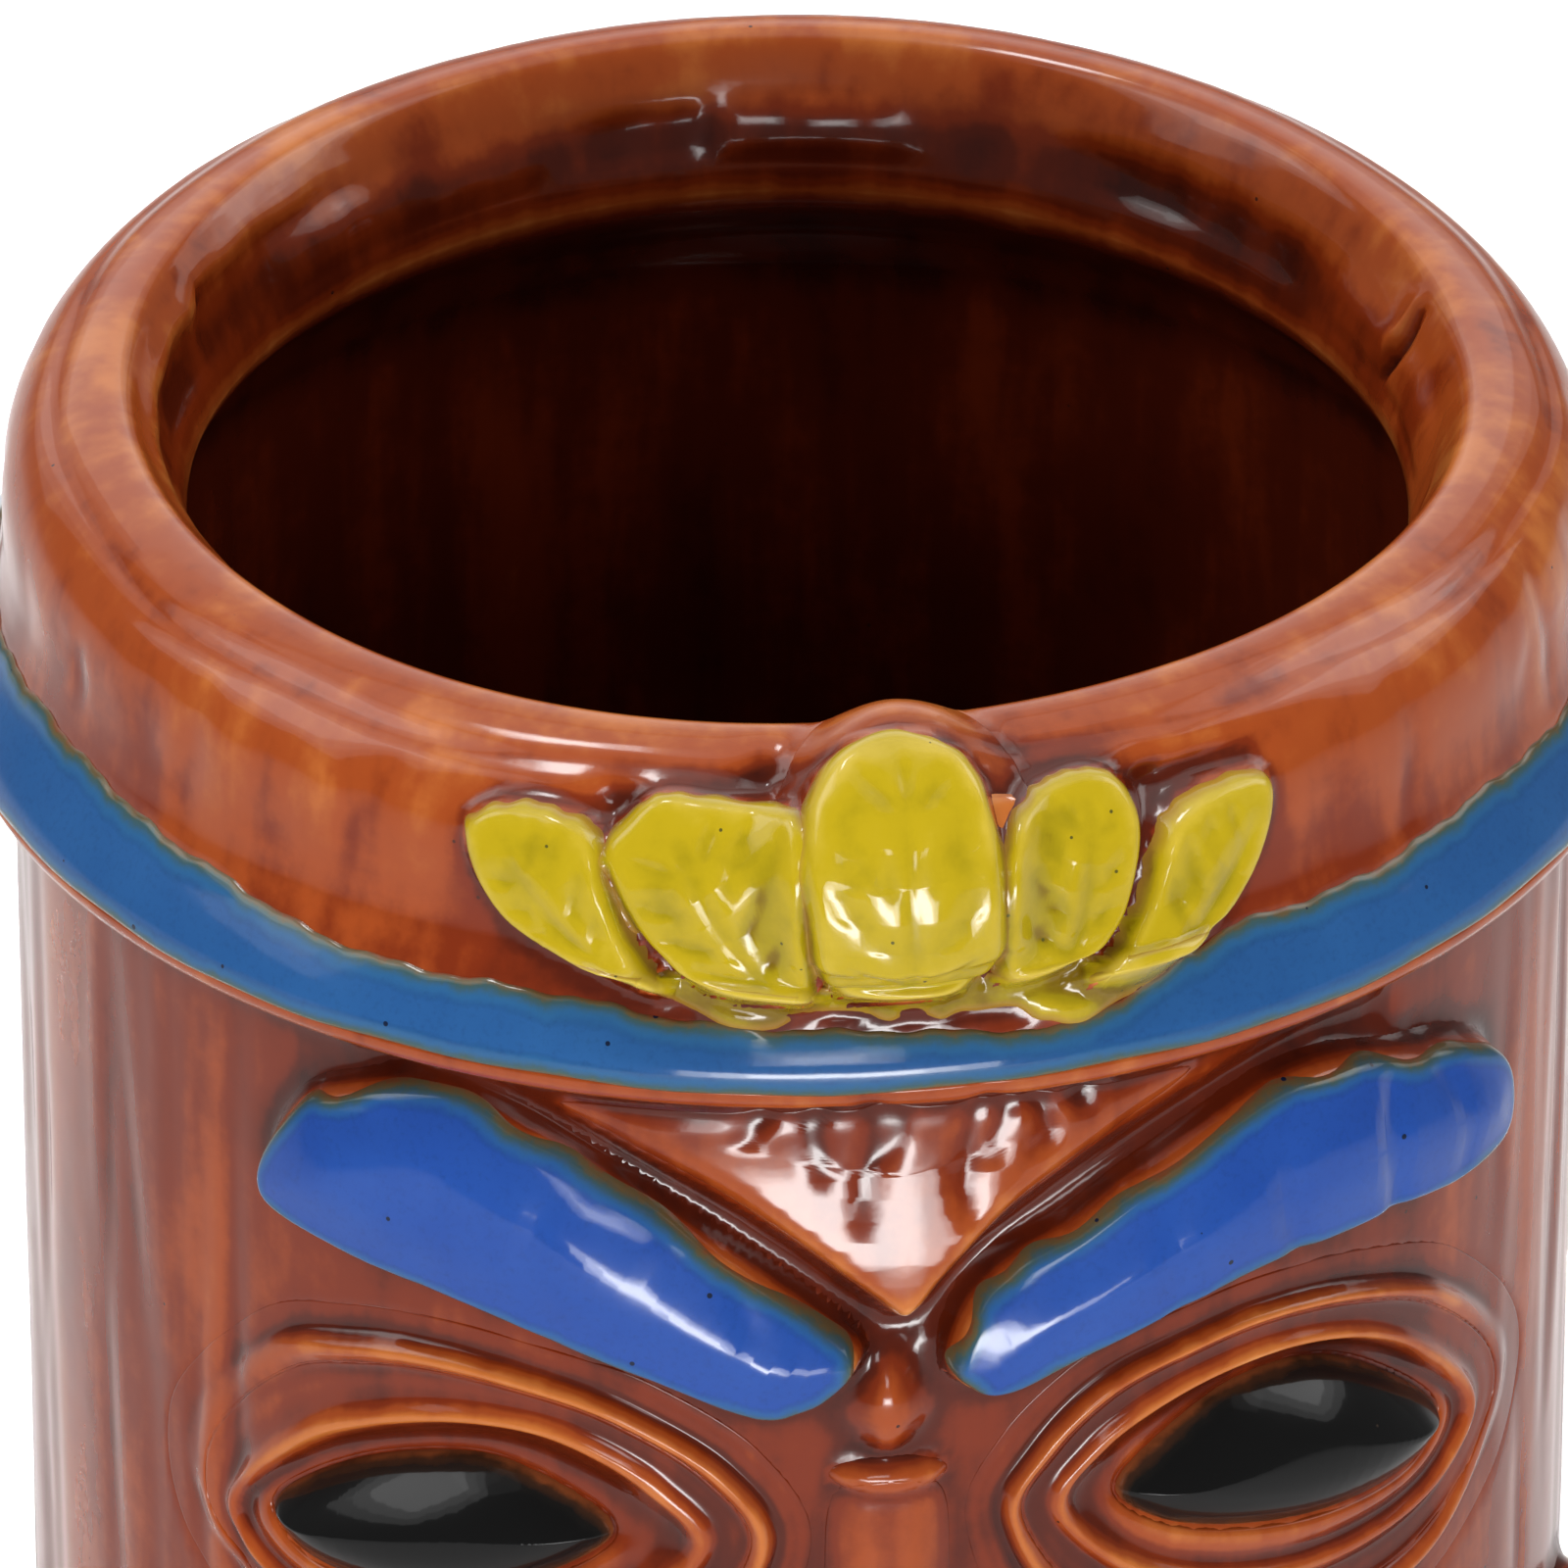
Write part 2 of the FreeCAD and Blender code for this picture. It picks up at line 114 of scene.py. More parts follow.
def outline_of_cup():
    """Radius and height from the heel up the outside, over the rim and down to the middle of the floor."""
    band_z = BAND_LOW[2]
    outside = [
        (FOOT_R, FOOT_TOP), (FACE_R - 1.0, FOOT_TOP + 2.0), (FACE_R, FOOT_TOP + 6.0),
        (FACE_R, ROLL_Z - 1.6), (FACE_R + 0.3, ROLL_Z - 0.7), (BAND_R - 1.3, ROLL_Z + 0.1),
        (BAND_R - 0.3, ROLL_Z + 0.6), (BAND_R, band_z + 0.4), (BAND_R - 0.1, band_z + 1.6),
        (BAND_R - 0.9, band_z + 3.0), (BAND_R - 2.0, band_z + 4.6), (CROWN_R + 0.25, band_z + 6.2),
        (CROWN_R, band_z + 8.0),
    ]
    shoulder = arc_points((CREST_R, SHOULDER_Z), SHOULDER, 0, 90)
    lip = [(CREST_R - 0.6, RIM_TOP - 0.3), CREASE, (NECK[0] + 0.75, NECK[1] + 2.3), NECK]
    corner = 8.0
    inside = [(NECK[0] + 0.5, NECK[1] - 1.2), (CAVITY_R - 1.6, RIM_TOP - 11.0), (CAVITY_R, RIM_TOP - 14.0)]
    floor = arc_points((CAVITY_R - corner, FLOOR_Z + corner), corner, 0, -90)
    return outside + shoulder + lip + inside + floor + [(0.0, FLOOR_Z)]


LINE = smooth_line(outline_of_cup(), STEP, 5)
LINE_OUT = np.gradient(LINE, axis=0)[:, ::-1] * (1, -1)
LINE_OUT /= np.linalg.norm(LINE_OUT, axis=1)[:, None]
CREST_ROW = int(np.argmax(LINE[:, 1]))
WALL_ROW = int(np.argmin(np.abs(LINE[:CREST_ROW, 1] - 100.0)))
LINE_H = (np.arange(len(LINE)) - WALL_ROW) * STEP + LINE[WALL_ROW, 1]


def climb(z):
    """The height along the surface for a height above the table; past the shoulder both rise equally."""
    z = np.asarray(z, float)
    rows = slice(0, CREST_ROW)
    start = np.interp(SHOULDER_Z, LINE[rows, 1], LINE_H[rows])
    return np.where(z > SHOULDER_Z, start + z - SHOULDER_Z, np.interp(z, LINE[rows, 1], LINE_H[rows]))


CREST_H = LINE_H[CREST_ROW]
LIP_H = CREST_H + LIP_DEPTH
MAP_H = np.arange(LINE_H[0], LIP_H, STEP)
MAP_COLUMNS = int(2 * math.pi * ARC_R / STEP)
MAP_S = (np.arange(MAP_COLUMNS) / MAP_COLUMNS - 0.5) * 2 * math.pi * ARC_R
GRID_S, GRID_H = np.meshgrid(MAP_S, MAP_H)
RANDOM = np.random.default_rng(SEED)
CUT_WAVES = range(5, 19)     # how many times each wave of a hand-cut edge goes round it
CUT_WAVES_SUM = 3.7          # the usual size of all these waves together


def surface(points):
    """s and h of places given as (angle in degrees, height from the rim's crest)."""
    points = np.array(points, float)
    return np.stack([np.radians(points[:, 0]) * ARC_R, climb(RIM_TOP + points[:, 1])], 1)


def rounded(points, per_side=10):
    """A closed smooth curve through the points."""
    p = np.asarray(points, float)
    t = (np.arange(per_side) / per_side)[None, :, None]
    a, b, c, d = (np.roll(p, k, axis=0)[:, None, :] for k in (1, 0, -1, -2))
    curve = b + 0.5 * t * (c - a + t * (2 * a - 5 * b + 4 * c - d + t * (3 * (b - c) + d - a)))
    return curve.reshape(-1, 2)


def rounded_path(points, per_side=6):
    """An open path with its corners eased."""
    t = np.linspace(0, len(points) - 1, (len(points) - 1) * per_side + 1)
    path = np.stack([np.interp(t, np.arange(len(points)), points[:, k]) for k in (0, 1)], 1)
    return eased(path, per_side)


def edge_normals(outline):
    """Unit normals of a closed outline; they point outwards where it runs anticlockwise."""
    tangent = np.roll(outline, -1, axis=0) - np.roll(outline, 1, axis=0)
    normal = np.stack([tangent[:, 1], -tangent[:, 0]], 1)
    return normal / (np.linalg.norm(normal, axis=1)[:, None] + TINY)


def grown(outline, by):
    """The closed outline moved outwards."""
    x, y = outline.T
    clockwise = np.sum(x * np.roll(y, -1) - y * np.roll(x, -1)) < 0
    return outline + (-by if clockwise else by) * edge_normals(outline)


def hand_cut(outline, amount):
    """The outline with small uneven waves, as left by a hand tool."""
    turn = np.arange(len(outline)) * 2 * math.pi / len(outline)
    waves = sum(RANDOM.normal() * np.cos(turn * k + RANDOM.uniform(0, 6.3)) for k in CUT_WAVES)
    return outline + (waves * amount / CUT_WAVES_SUM)[:, None] * edge_normals(outline)


def gap_squared(start, stop, s, h):
    """Squared distance from the straight line between two points."""
    (x, y), (dx, dy) = start, stop - start
    t = np.clip(((s - x) * dx + (h - y) * dy) / (dx * dx + dy * dy + TINY ** 2), 0, 1)
    return (s - x - t * dx) ** 2 + (h - y - t * dy) ** 2


def depth_inside(outline, s, h):
    """Distance in mm from a closed outline, positive inside it."""
    s, h = np.asarray(s, float), np.asarray(h, float)
    best = np.full(s.shape, np.inf)
    within = np.zeros(s.shape, bool)
    for start, stop in zip(outline, np.roll(outline, -1, axis=0)):
        best = np.minimum(best, gap_squared(start, stop, s, h))
        dx, dy = stop - start
        if dy:
            crossed = (h >= start[1]) != (h >= stop[1])
            within ^= crossed & (s < start[0] + (h - start[1]) / dy * dx)
    return np.where(within, np.sqrt(best), -np.sqrt(best))


def distance_to(path, s, h):
    """Distance in mm from an open path."""
    gaps = [gap_squared(start, stop, s, h) for start, stop in zip(path[:-1], path[1:])]
    return np.sqrt(np.min(gaps, axis=0))


def window(points, margin):
    """The part of the height map round some points."""
    low, high = np.min(points, axis=0) - margin, np.max(points, axis=0) + margin
    rows = slice(*np.searchsorted(MAP_H, (low[1], high[1])))
    columns = slice(*np.searchsorted(MAP_S, (low[0], high[0])))
    return rows, columns


def ramp(value, low, high):
    """Smooth step from 0 at low to 1 at high."""
    t = np.clip((np.asarray(value, float) - low) / (high - low), 0, 1)
    return t * t * (3 - 2 * t)


# ---------------------------------------------------------------- outlines
# Each point is (angle, height): degrees from the middle of the face, and mm from the rim's crest.
SIDES = {"left": -1, "right": 1}
BROWS = {
    "left": [(-47.6, -27.4), (-46.8, -25.0), (-44.2, -22.4), (-40.5, -20.9), (-34.0, -19.4),
             (-27.5, -20.8), (-21.5, -22.9), (-13.4, -26.7), (-6.4, -30.6), (-3.9, -32.6), (-5.4, -34.3),
             (-7.6, -35.3), (-11.0, -35.6), (-18.3, -33.5), (-30.0, -30.8), (-40.0, -29.6),
             (-45.8, -28.8)],
    "right": [(2.6, -33.4), (3.9, -30.4), (6.6, -28.2), (11.2, -26.6), (17.4, -24.2), (25.4, -21.9),
              (31.5, -21.5), (38.3, -22.8), (45.0, -24.2), (49.3, -26.0), (50.3, -28.2), (48.5, -30.6),
              (43.0, -31.2), (35.2, -30.6), (23.3, -30.9), (12.6, -33.2), (6.6, -34.9), (4.0, -34.7)],
}
BROW_LEAN = 1.3          # how much further a brow's lower edge stands out than its upper edge
BROW_DENTS = {"left": (0.1, 0.12, 0.1, 0.15), "right": (0.15, 0.35, 0.5, 0.2)}
BROW_SPINES = {"left": [(-44.0, -26.2), (-34.0, -25.0), (-22.0, -27.8), (-8.0, -33.6)],
               "right": [(5.6, -32.8), (20.0, -27.4), (32.0, -26.2), (46.5, -27.8)]}
V_GROOVE = [(-38.0, -19.0), (-32.0, -19.6), (-26.4, -20.8), (-20.8, -22.8), (-13.8, -25.3), (-9.0, -27.8),
            (-5.2, -30.0), (-0.9, -32.3), (2.2, -30.0), (7.0, -26.9), (11.0, -25.0), (15.2, -23.3),
            (19.4, -22.0), (25.2, -20.7), (31.4, -20.0), (38.0, -20.6)]
WEDGE = [(-25.0, -19.3), (-14.0, -18.9), (0.0, -18.7), (12.0, -18.9), (21.0, -19.3), (15.2, -21.7),
         (11.0, -23.4), (7.0, -25.3), (2.8, -28.3), (0.9, -30.1), (-0.9, -30.8), (-3.0, -29.6),
         (-5.2, -28.2), (-9.0, -26.0), (-13.8, -23.5), (-20.8, -21.0)]
WEDGE_LEAN = 2.3         # how much further the panel's tip stands out than its top
WEDGE_CUTS = [(-11.0, 2.2), (-6.4, 3.4), (-3.0, 5.2), (-1.4, 3.0), (4.2, 5.4), (6.2, 3.2), (9.2, 3.0),
              (12.6, 1.8)]
EYES = {
    "left": {
        "centre": (-35.5, -46.3),
        "eye": [(-21.6, -45.2), (-25.0, -43.2), (-32.0, -42.2), (-40.0, -43.6), (-46.5, -46.2),
                (-49.2, -48.6), (-45.0, -50.4), (-36.5, -50.2), (-27.7, -48.2)],
        "lid_in": [(-14.8, -44.6), (-18.1, -41.4), (-22.5, -39.5), (-27.2, -38.7), (-33.5, -39.2),
                   (-40.3, -41.0), (-46.4, -43.8), (-53.0, -49.4), (-49.0, -52.4), (-40.0, -53.2),
                   (-30.0, -52.0), (-20.5, -49.0)],
        "lid_out": [(-10.0, -44.6), (-13.0, -40.2), (-19.7, -37.2), (-26.0, -35.9), (-33.9, -35.4),
                    (-41.3, -36.2), (-49.0, -38.6), (-57.5, -46.0), (-55.5, -52.0), (-42.0, -56.4),
                    (-28.0, -55.4), (-15.8, -51.2)],
        "socket": [(-7.0, -44.8), (-10.6, -39.0), (-18.5, -35.3), (-26.0, -34.1), (-33.9, -33.7),
                   (-42.0, -34.5), (-50.5, -37.2), (-60.5, -46.0), (-58.0, -54.0), (-43.0, -58.8),
                   (-27.0, -57.8), (-13.0, -53.2)],
    },
    "right": {
        "centre": (31.0, -44.6),
        "eye": [(15.8, -43.8), (19.8, -41.6), (26.8, -40.0), (34.0, -40.5), (40.2, -42.8), (45.8, -46.6),
                (42.5, -48.6), (35.0, -48.8), (27.0, -47.9), (19.6, -46.2)],
        "lid_in": [(10.9, -43.6), (13.6, -40.4), (18.4, -38.5), (24.1, -37.6), (30.5, -37.8),
                   (37.1, -39.4), (43.2, -42.4), (49.4, -47.6), (45.5, -50.6), (38.0, -51.5),
                   (28.0, -51.0), (17.5, -48.4)],
        "lid_out": [(7.0, -43.8), (9.2, -39.9), (14.0, -36.7), (20.0, -35.4), (27.2, -34.9),
                    (36.3, -36.2), (46.0, -39.6), (55.5, -46.4), (53.0, -51.4), (42.0, -55.2),
                    (28.0, -54.8), (13.0, -50.6)],
        "socket": [(4.0, -44.0), (6.6, -38.8), (12.6, -35.0), (19.5, -33.6), (27.6, -33.2), (37.3, -34.4),
                   (48.0, -38.0), (58.8, -46.4), (56.0, -53.0), (43.0, -57.6), (27.0, -57.2),
                   (10.0, -52.6)],
    },
}
CHEEK_LINE = [(19, -64), (27, -69), (36, -78), (43, -90), (45, -104)]
LEAVES = {
    "leaf_outer_left": [(-31.6, -4.2), (-30.2, -3.1), (-27.6, -2.6), (-24.6, -2.7), (-22.0, -3.4),
                        (-20.6, -5.6), (-18.6, -8.6), (-17.0, -11.6), (-22.8, -10.2), (-26.2, -9.3),
                        (-28.8, -8.0), (-30.8, -6.1)],
    "leaf_inner_left": [(-21.4, -3.8), (-19.4, -2.1), (-17.4, -1.4), (-14.2, -1.5), (-9.4, -1.8),
                        (-7.6, -2.8), (-7.4, -6.0), (-6.8, -11.6), (-10.2, -11.8), (-14.4, -11.0),
                        (-18.0, -8.6), (-20.8, -5.4)],
    "leaf_centre": [(-1.0, 0.4), (-4.0, 0.1), (-6.4, -0.8), (-7.9, -2.7), (-7.6, -5.6), (-6.4, -10.6),
                    (-3.0, -11.8), (1.8, -11.8), (4.9, -9.8), (5.4, -6.6), (5.0, -2.8), (3.8, -1.0),
                    (1.8, -0.1)],
    "leaf_inner_right": [(5.6, -4.0), (8.2, -2.2), (10.4, -1.6), (12.8, -1.5), (15.0, -2.2), (16.0, -4.0),
                         (15.2, -6.6), (13.6, -9.2), (10.8, -10.8), (5.6, -11.4), (5.0, -8.0)],
    "leaf_outer_right": [(15.4, -7.6), (17.2, -5.0), (19.4, -4.0), (22.8, -3.5), (26.2, -3.9),
                         (26.6, -5.4), (24.6, -8.2), (21.6, -10.4), (16.4, -12.4), (11.4, -12.2),
                         (13.6, -9.8)],
}
LEAF_RIBS = {
    "leaf_outer_left": ((-20.6, -10.2), (-29.0, -4.2)),
    "leaf_inner_left": ((-9.6, -10.8), (-17.0, -2.4)),
    "leaf_centre": ((-0.9, -11.2), (-0.8, 0.4)),
    "leaf_inner_right": ((9.6, -10.9), (12.8, -2.0)),
    "leaf_outer_right": ((17.6, -11.4), (25.6, -4.8)),
}
LEAF_GROWTH = 0.15       # how far the leaves' clay and glaze spread past their drawn outlines
LEAF_HEIGHTS = {"leaf_centre": 1.6, "leaf_inner_left": 1.5, "leaf_inner_right": 1.5,
                "leaf_outer_left": 1.2, "leaf_outer_right": 1.2}
LEAF_LEAN = 1.7          # how much further a leaf's foot stands out than its tip
LEAF_LIFTS = {"leaf_centre": 0.24, "leaf_inner_left": 0.18, "leaf_inner_right": 0.18,
              "leaf_outer_left": 0.12, "leaf_outer_right": 0.12}
STRIP = [(-24.4, -9.6), (-20.4, -9.6), (-14.0, -10.4), (-6.0, -11.0), (4.0, -11.0), (10.0, -10.6),
         (19.5, -10.6), (18.8, -12.0), (14.4, -13.2), (11.0, -13.8), (8.4, -13.6), (6.6, -12.9),
         (3.6, -12.6), (1.6, -12.9), (-0.6, -12.6), (-2.4, -12.9), (-4.4, -12.3), (-7.6, -12.4),
         (-9.6, -13.1), (-12.6, -13.1), (-16.0, -12.1), (-20.0, -11.0)]
STRIP_SPINE = [(-26.0, -9.5), (-17.0, -10.7), (-8.0, -11.8), (0.0, -11.8), (8.0, -12.2), (17.5, -12.0)]
MOUND = [(-10.6, -5.0), (-9.4, -0.6), (-6.0, 3.2), (-0.8, 4.6), (4.6, 3.4), (8.0, -0.2), (8.6, -4.4),
         (6.8, -9.0), (0.0, -10.6), (-8.0, -9.6)]
LEAF_PITS = [(-10.4, -0.2, 1.3, 1.5), (17.9, -2.9, 1.1, 1.3), (22.0, -2.6, 3.4, 0.8),
             (-21.2, -2.2, 1.2, 1.2)]
BAND_TOP_EDGE = [(-180, -11.0), (-65, -10.6), (-45, -12.0), (-21, -12.3), (0, -13.3), (10, -13.6),
                 (23, -11.4), (49, -11.0), (180, -11.0)]


def oval(centre, half_s, half_h, power=2.0, count=96):
    """A rounded outline; a higher power makes it squarer. The centre is (length, height)."""
    a = np.arange(count) * 2 * math.pi / count
    c, s = np.cos(a), np.sin(a)
    return np.stack([centre[0] + half_s * np.sign(c) * np.abs(c) ** (2 / power),
                     centre[1] + half_h * np.sign(s) * np.abs(s) ** (2 / power)], 1)


def by_angle(outline, centre, squash, count=220):
    """The outline at even angles about its centre, heights stretched so that long shapes sample evenly."""
    x, y = (outline - centre).T
    angle = np.arctan2(y / squash, x)
    order = np.argsort(angle)
    wrapped = np.r_[angle[order] - 2 * math.pi, angle[order], angle[order] + 2 * math.pi]
    radius = np.hypot(x, y / squash)[order]
    even = np.arange(count) * 2 * math.pi / count - math.pi
    r = np.interp(even, wrapped, np.tile(radius, 3))
    return np.stack([centre[0] + r * np.cos(even), centre[1] + r * squash * np.sin(even)], 1)


# ---------------------------------------------------------------- the height map
FACE_MID = -1.6          # the middle of the nose and mouth
BRIDGE_Z = -40.2         # the bar across the nose, from the crest
EYE_SQUASH = 0.5
RING_PROFILE = [(0.0, -0.8), (0.92, -0.8), (1.05, -0.5), (1.14, -0.35), (1.55, -0.35), (1.8, 0.0),
                (1.92, 0.7), (2.0, 0.85), (2.08, 0.7), (2.2, 0.2), (2.36, 0.12), (2.48, 0.22), (2.6, 0.2),
                (2.74, 0.55), (2.86, 1.05), (2.95, 1.0), (3.1, 0.15), (3.24, -0.05), (3.4, 0.22),
                (3.6, 0.02), (3.74, 0.14), (3.9, 0.0), (4.0, 0.0)]     # ring number, height
DOME_WIDTH = 4.0         # how far in from its edge an eye reaches its full height
DOME_HEIGHT = 2.6
EYE_LEAN = 0.24          # how much an eye and the inside of its lid face upwards
LID_EDGE = 0.7           # the lid ends and the socket's ridge begins this far from the lid's inner line
MOUTH_Z = middle("lips")[2]
MOUTH_HALF = (limits("lips")[1][2] - MOUTH_Z) * np.array([1.62, 1.0])
MOUTH_INNER = MOUTH_HALF - np.array([5.4, 4.6])      # half size of the field of teeth
TEETH_PER_ROW = 6
TOOTH_POWER = 4.0        # how square a tooth is
NOSE_LOW, NOSE_HIGH = limits("nose")
EAR_ANGLE = 70.0
EAR_Z = middle("ear_right")[2]
EAR_HALF = (7.5, limits("ear_right")[1][2] - EAR_Z)


def at(angle, z):
    """One place, given by its angle and its height above the table."""
    return np.array([math.radians(angle) * ARC_R, float(climb(z))])


def eye_rings(side):
    """The four nested outlines of an eye, sampled at the same angles about its centre."""
    eye = EYES[side]
    centre = surface([eye["centre"]])[0]
    names = ("eye", "lid_in", "lid_out", "socket")
    return centre, [by_angle(rounded(surface(eye[name]), 20), centre, EYE_SQUASH, 420) for name in names]


def ring_number(centre, rings, s, h):
    """0 at the eye's centre, 1 at the first outline, 2 at the second, and so on."""
    x, y = s - centre[0], (h - centre[1]) / EYE_SQUASH
    angle, radius = np.arctan2(y, x), np.hypot(x, y)
    edges = [np.zeros_like(radius)]
    for ring in rings:
        rx, ry = ring[:, 0] - centre[0], (ring[:, 1] - centre[1]) / EYE_SQUASH
        edges.append(np.interp(angle, np.arctan2(ry, rx), np.hypot(rx, ry), period=2 * math.pi))
    number = np.full(radius.shape, float(len(rings)))
    for k in range(len(rings)):
        part = (radius - edges[k]) / (edges[k + 1] - edges[k])
        number = np.where((radius >= edges[k]) & (radius < edges[k + 1]), k + part, number)
    return number


def add_bump(relief, outline, height, low, high):
    """Clay raised inside an outline, from low to high mm in from it."""
    part = window(outline, 4.0)
    depth = depth_inside(outline, GRID_S[part], GRID_H[part])
    relief[part] += height * ramp(depth, low, high)


def add_groove(relief, path, depth, width):
    """A soft line pressed in along an open path."""
    part = window(path, 3.0 * width)
    away = distance_to(path, GRID_S[part], GRID_H[part])
    relief[part] -= depth * np.exp(-(away / width) ** 2)


def add_strand(relief, s, low, high, depth, width, slant):
    """A long upright cut with tapering ends; a negative depth makes a raised strand."""
    part = window([(s - 4.0, low), (s + 4.0, high)], 2.0)
    gs, gh = GRID_S[part], GRID_H[part]
    along = np.clip((gh - low) / (high - low), 0, 1)
    centre = s + slant * (along - 0.5) + 0.35 * np.sin(along * 7.0 + s)
    relief[part] -= depth * np.exp(-((gs - centre) / width) ** 2) * np.sin(math.pi * along) ** 0.6


def add_wood_grain(relief):
    """Upright cuts round the sides and the back of the wall, and shorter ones on the crown."""
    bottom, top = MAP_H[0] + 6.0, float(climb(ROLL_Z - 1.0))
    limit = math.radians(52.0) * ARC_R
    back = math.pi * ARC_R - 4.0
    for sign in (-1, 1):
        for _ in range(74):
            s = sign * RANDOM.uniform(limit, back)
            low = RANDOM.uniform(bottom, top - 25.0)
            high = min(top, low + RANDOM.uniform(18.0, 70.0))
            add_strand(relief, s, low, high, RANDOM.uniform(0.05, 0.22), RANDOM.uniform(0.5, 1.4),
                       RANDOM.normal() * 1.2)
        for angle in (56.0, 60.5, 64.0, 69.0):
            s = sign * math.radians(angle) * ARC_R
            add_strand(relief, s, top - 38.0, top + 3.0, -0.14, 1.1, sign * 2.0)
    for _ in range(44):
        s = math.radians(RANDOM.uniform(-44, 42)) * ARC_R
        top_of_cut = RANDOM.uniform(18.0, 33.0)
        add_strand(relief, s, MAP_H[0] + 3.0, top_of_cut, RANDOM.uniform(0.15, 0.4), 0.7, 0.6)
    crown_low, crown_high = float(climb(139.5)), float(climb(SHOULDER_Z)) + 5.0
    for _ in range(84):
        s = RANDOM.uniform(-back, back)
        if -34.0 < math.degrees(s / ARC_R) < 29.0:
            continue
        low = crown_low + RANDOM.uniform(-0.8, 3.0)
        add_strand(relief, s, low, crown_high - RANDOM.uniform(0, 5.0), RANDOM.uniform(0.03, 0.16),
                   RANDOM.uniform(0.7, 1.6), RANDOM.normal() * 0.5)


def add_rim_details(relief):
    """The line cut round the rim's outer edge, a pinched fold in the lip and the lip's uneven edge."""
    line_h = CREST_H - 3.2 + 0.35 * np.sin(GRID_S[0] * 0.07 + 1.0) + 0.2 * np.sin(GRID_S[0] * 0.31)
    relief -= 0.2 * np.exp(-((GRID_H - line_h) / 0.55) ** 2)
    edge = ramp(GRID_H, CREST_H + 3.5, CREST_H + 5.5)
    uneven = 0.4 * np.sin(GRID_S * 0.11 + 0.4) + 0.12 * np.sin(GRID_S * 0.43) + 0.05 * np.sin(GRID_S * 1.3)
    relief += edge * uneven
    turn = np.degrees(GRID_S / ARC_R)
    along = ramp(turn, -146.0, -130.0) * (1 - ramp(turn, -70.0, -50.0))
    crease_h = CREST_H + 3.2 + 0.5 * ramp(turn, -118.0, -115.0) + 0.15 * np.sin(GRID_S * 0.9)
    ridge = ramp(GRID_H, crease_h - 2.0, crease_h) * (1 - ramp(GRID_H, crease_h, crease_h + 0.35))
    relief += 0.35 * along * ridge
    for angle, depth in ((98.0, 0.9), (-117.0, 0.3)):
        s = math.radians(angle) * ARC_R
        add_strand(relief, s, CREST_H + 2.2, CREST_H + 7.4, depth, 0.4, 1.2)
        add_strand(relief, s + 1.1, CREST_H + 1.8, CREST_H + 6.6, -depth * 0.5, 0.7, 1.2)


def add_brows(relief):
    for side, points in BROWS.items():
        outline = grown(rounded(surface(points), 6), 0.35)
        part = window(outline, 4.0)
        s, h = GRID_S[part], GRID_H[part]
        depth = depth_inside(outline, s, h)
        spine = surface(BROW_SPINES[side])
        upper = np.clip((h - np.interp(s, *spine.T)) / 8.0 + 0.5, 0, 1)
        steep = ramp(depth, -0.2 - 0.3 * upper, 0.7)
        relief[part] += steep * (1.6 + BROW_LEAN * (1 - upper)) + 0.9 * ramp(depth, 0.0, 4.4)
        for k, share in enumerate((0.3, 0.52, 0.74, 0.9)):
            notch = spine[0] + (spine[-1] - spine[0]) * share
            deep = BROW_DENTS[side][k]
            add_strand(relief, notch[0], notch[1] - 2.5, notch[1] + 6.5, deep, 0.7, 0.8 * (-1) ** k)


def add_forehead(relief):
    add_groove(relief, rounded_path(surface(V_GROOVE)), 0.7, 1.05)
    outline = rounded(surface(WEDGE), 6)
    part = window(outline, 4.0)
    depth = depth_inside(outline, GRID_S[part], GRID_H[part])
    share = ramp(GRID_H[part], outline[:, 1].max(), outline[:, 1].min())
    relief[part] += ramp(depth, -0.6, 1.4) * (0.35 + WEDGE_LEAN * share)
    for angle, length in WEDGE_CUTS:
        top = float(climb(ROLL_Z - 0.6))
        s = math.radians(angle) * ARC_R
        add_strand(relief, s, top - 1.4 * length, top + length * 0.7, 0.34, 0.7, 0.3)


def add_eyes(relief):
    numbers, heights = np.array(RING_PROFILE).T
    fine = np.linspace(0, 4, 401)
    curve = eased(np.interp(fine, numbers, heights), 16)
    for side in SIDES:
        centre, rings = eye_rings(side)
        part = window(rings[3], 1.0)
        s, h = GRID_S[part], GRID_H[part]
        number = ring_number(centre, rings, s, h)
        turn = SIDES[side] * np.degrees(s / ARC_R)
        temple = ramp(turn, 42.0, 56.0) * ramp(number, 2.3, 3.0)
        beyond_nose = ramp(turn, 16.0, 30.0) * ramp(number, 3.0, 3.2)
        relief[part] += np.interp(number, fine, curve) * (1 - 0.9 * temple) * (1 - 0.75 * beyond_nose)
        relief[part] += EYE_LEAN * (centre[1] - h) * (1 - ramp(number, 1.1, 2.0))


def nose_outline():
    """A bar that widens downwards, from shares of its height and half widths."""
    low, high = NOSE_LOW[2], NOSE_HIGH[2] + 1.5
    tall = high - low
    half = [(0.0, 2.6), (0.25, 3.4), (0.55, 4.6), (0.8, 6.4), (0.95, 6.2), (1.0, 3.4)]
    middle_s = math.radians(FACE_MID) * ARC_R
    right = [(middle_s + w, float(climb(high - share * tall))) for share, w in half]
    left = [(2 * middle_s - x, h) for x, h in reversed(right)]
    return rounded(right + left, 12)


def nostril_outline(side):
    centre = at(FACE_MID + 11.8 * SIDES[side], middle("nostril_right")[2])
    return oval(centre, 4.5, 3.9)


def mouth_outline(shrink=0.0):
    half = MOUTH_HALF - shrink
    return oval(at(FACE_MID, MOUTH_Z), half[0], half[1], 3.4, 220)


def ear_outline(side, shrink=0.0):
    return oval(at(EAR_ANGLE * SIDES[side], EAR_Z), EAR_HALF[0] - shrink, EAR_HALF[1] - shrink, 2.2, 160)


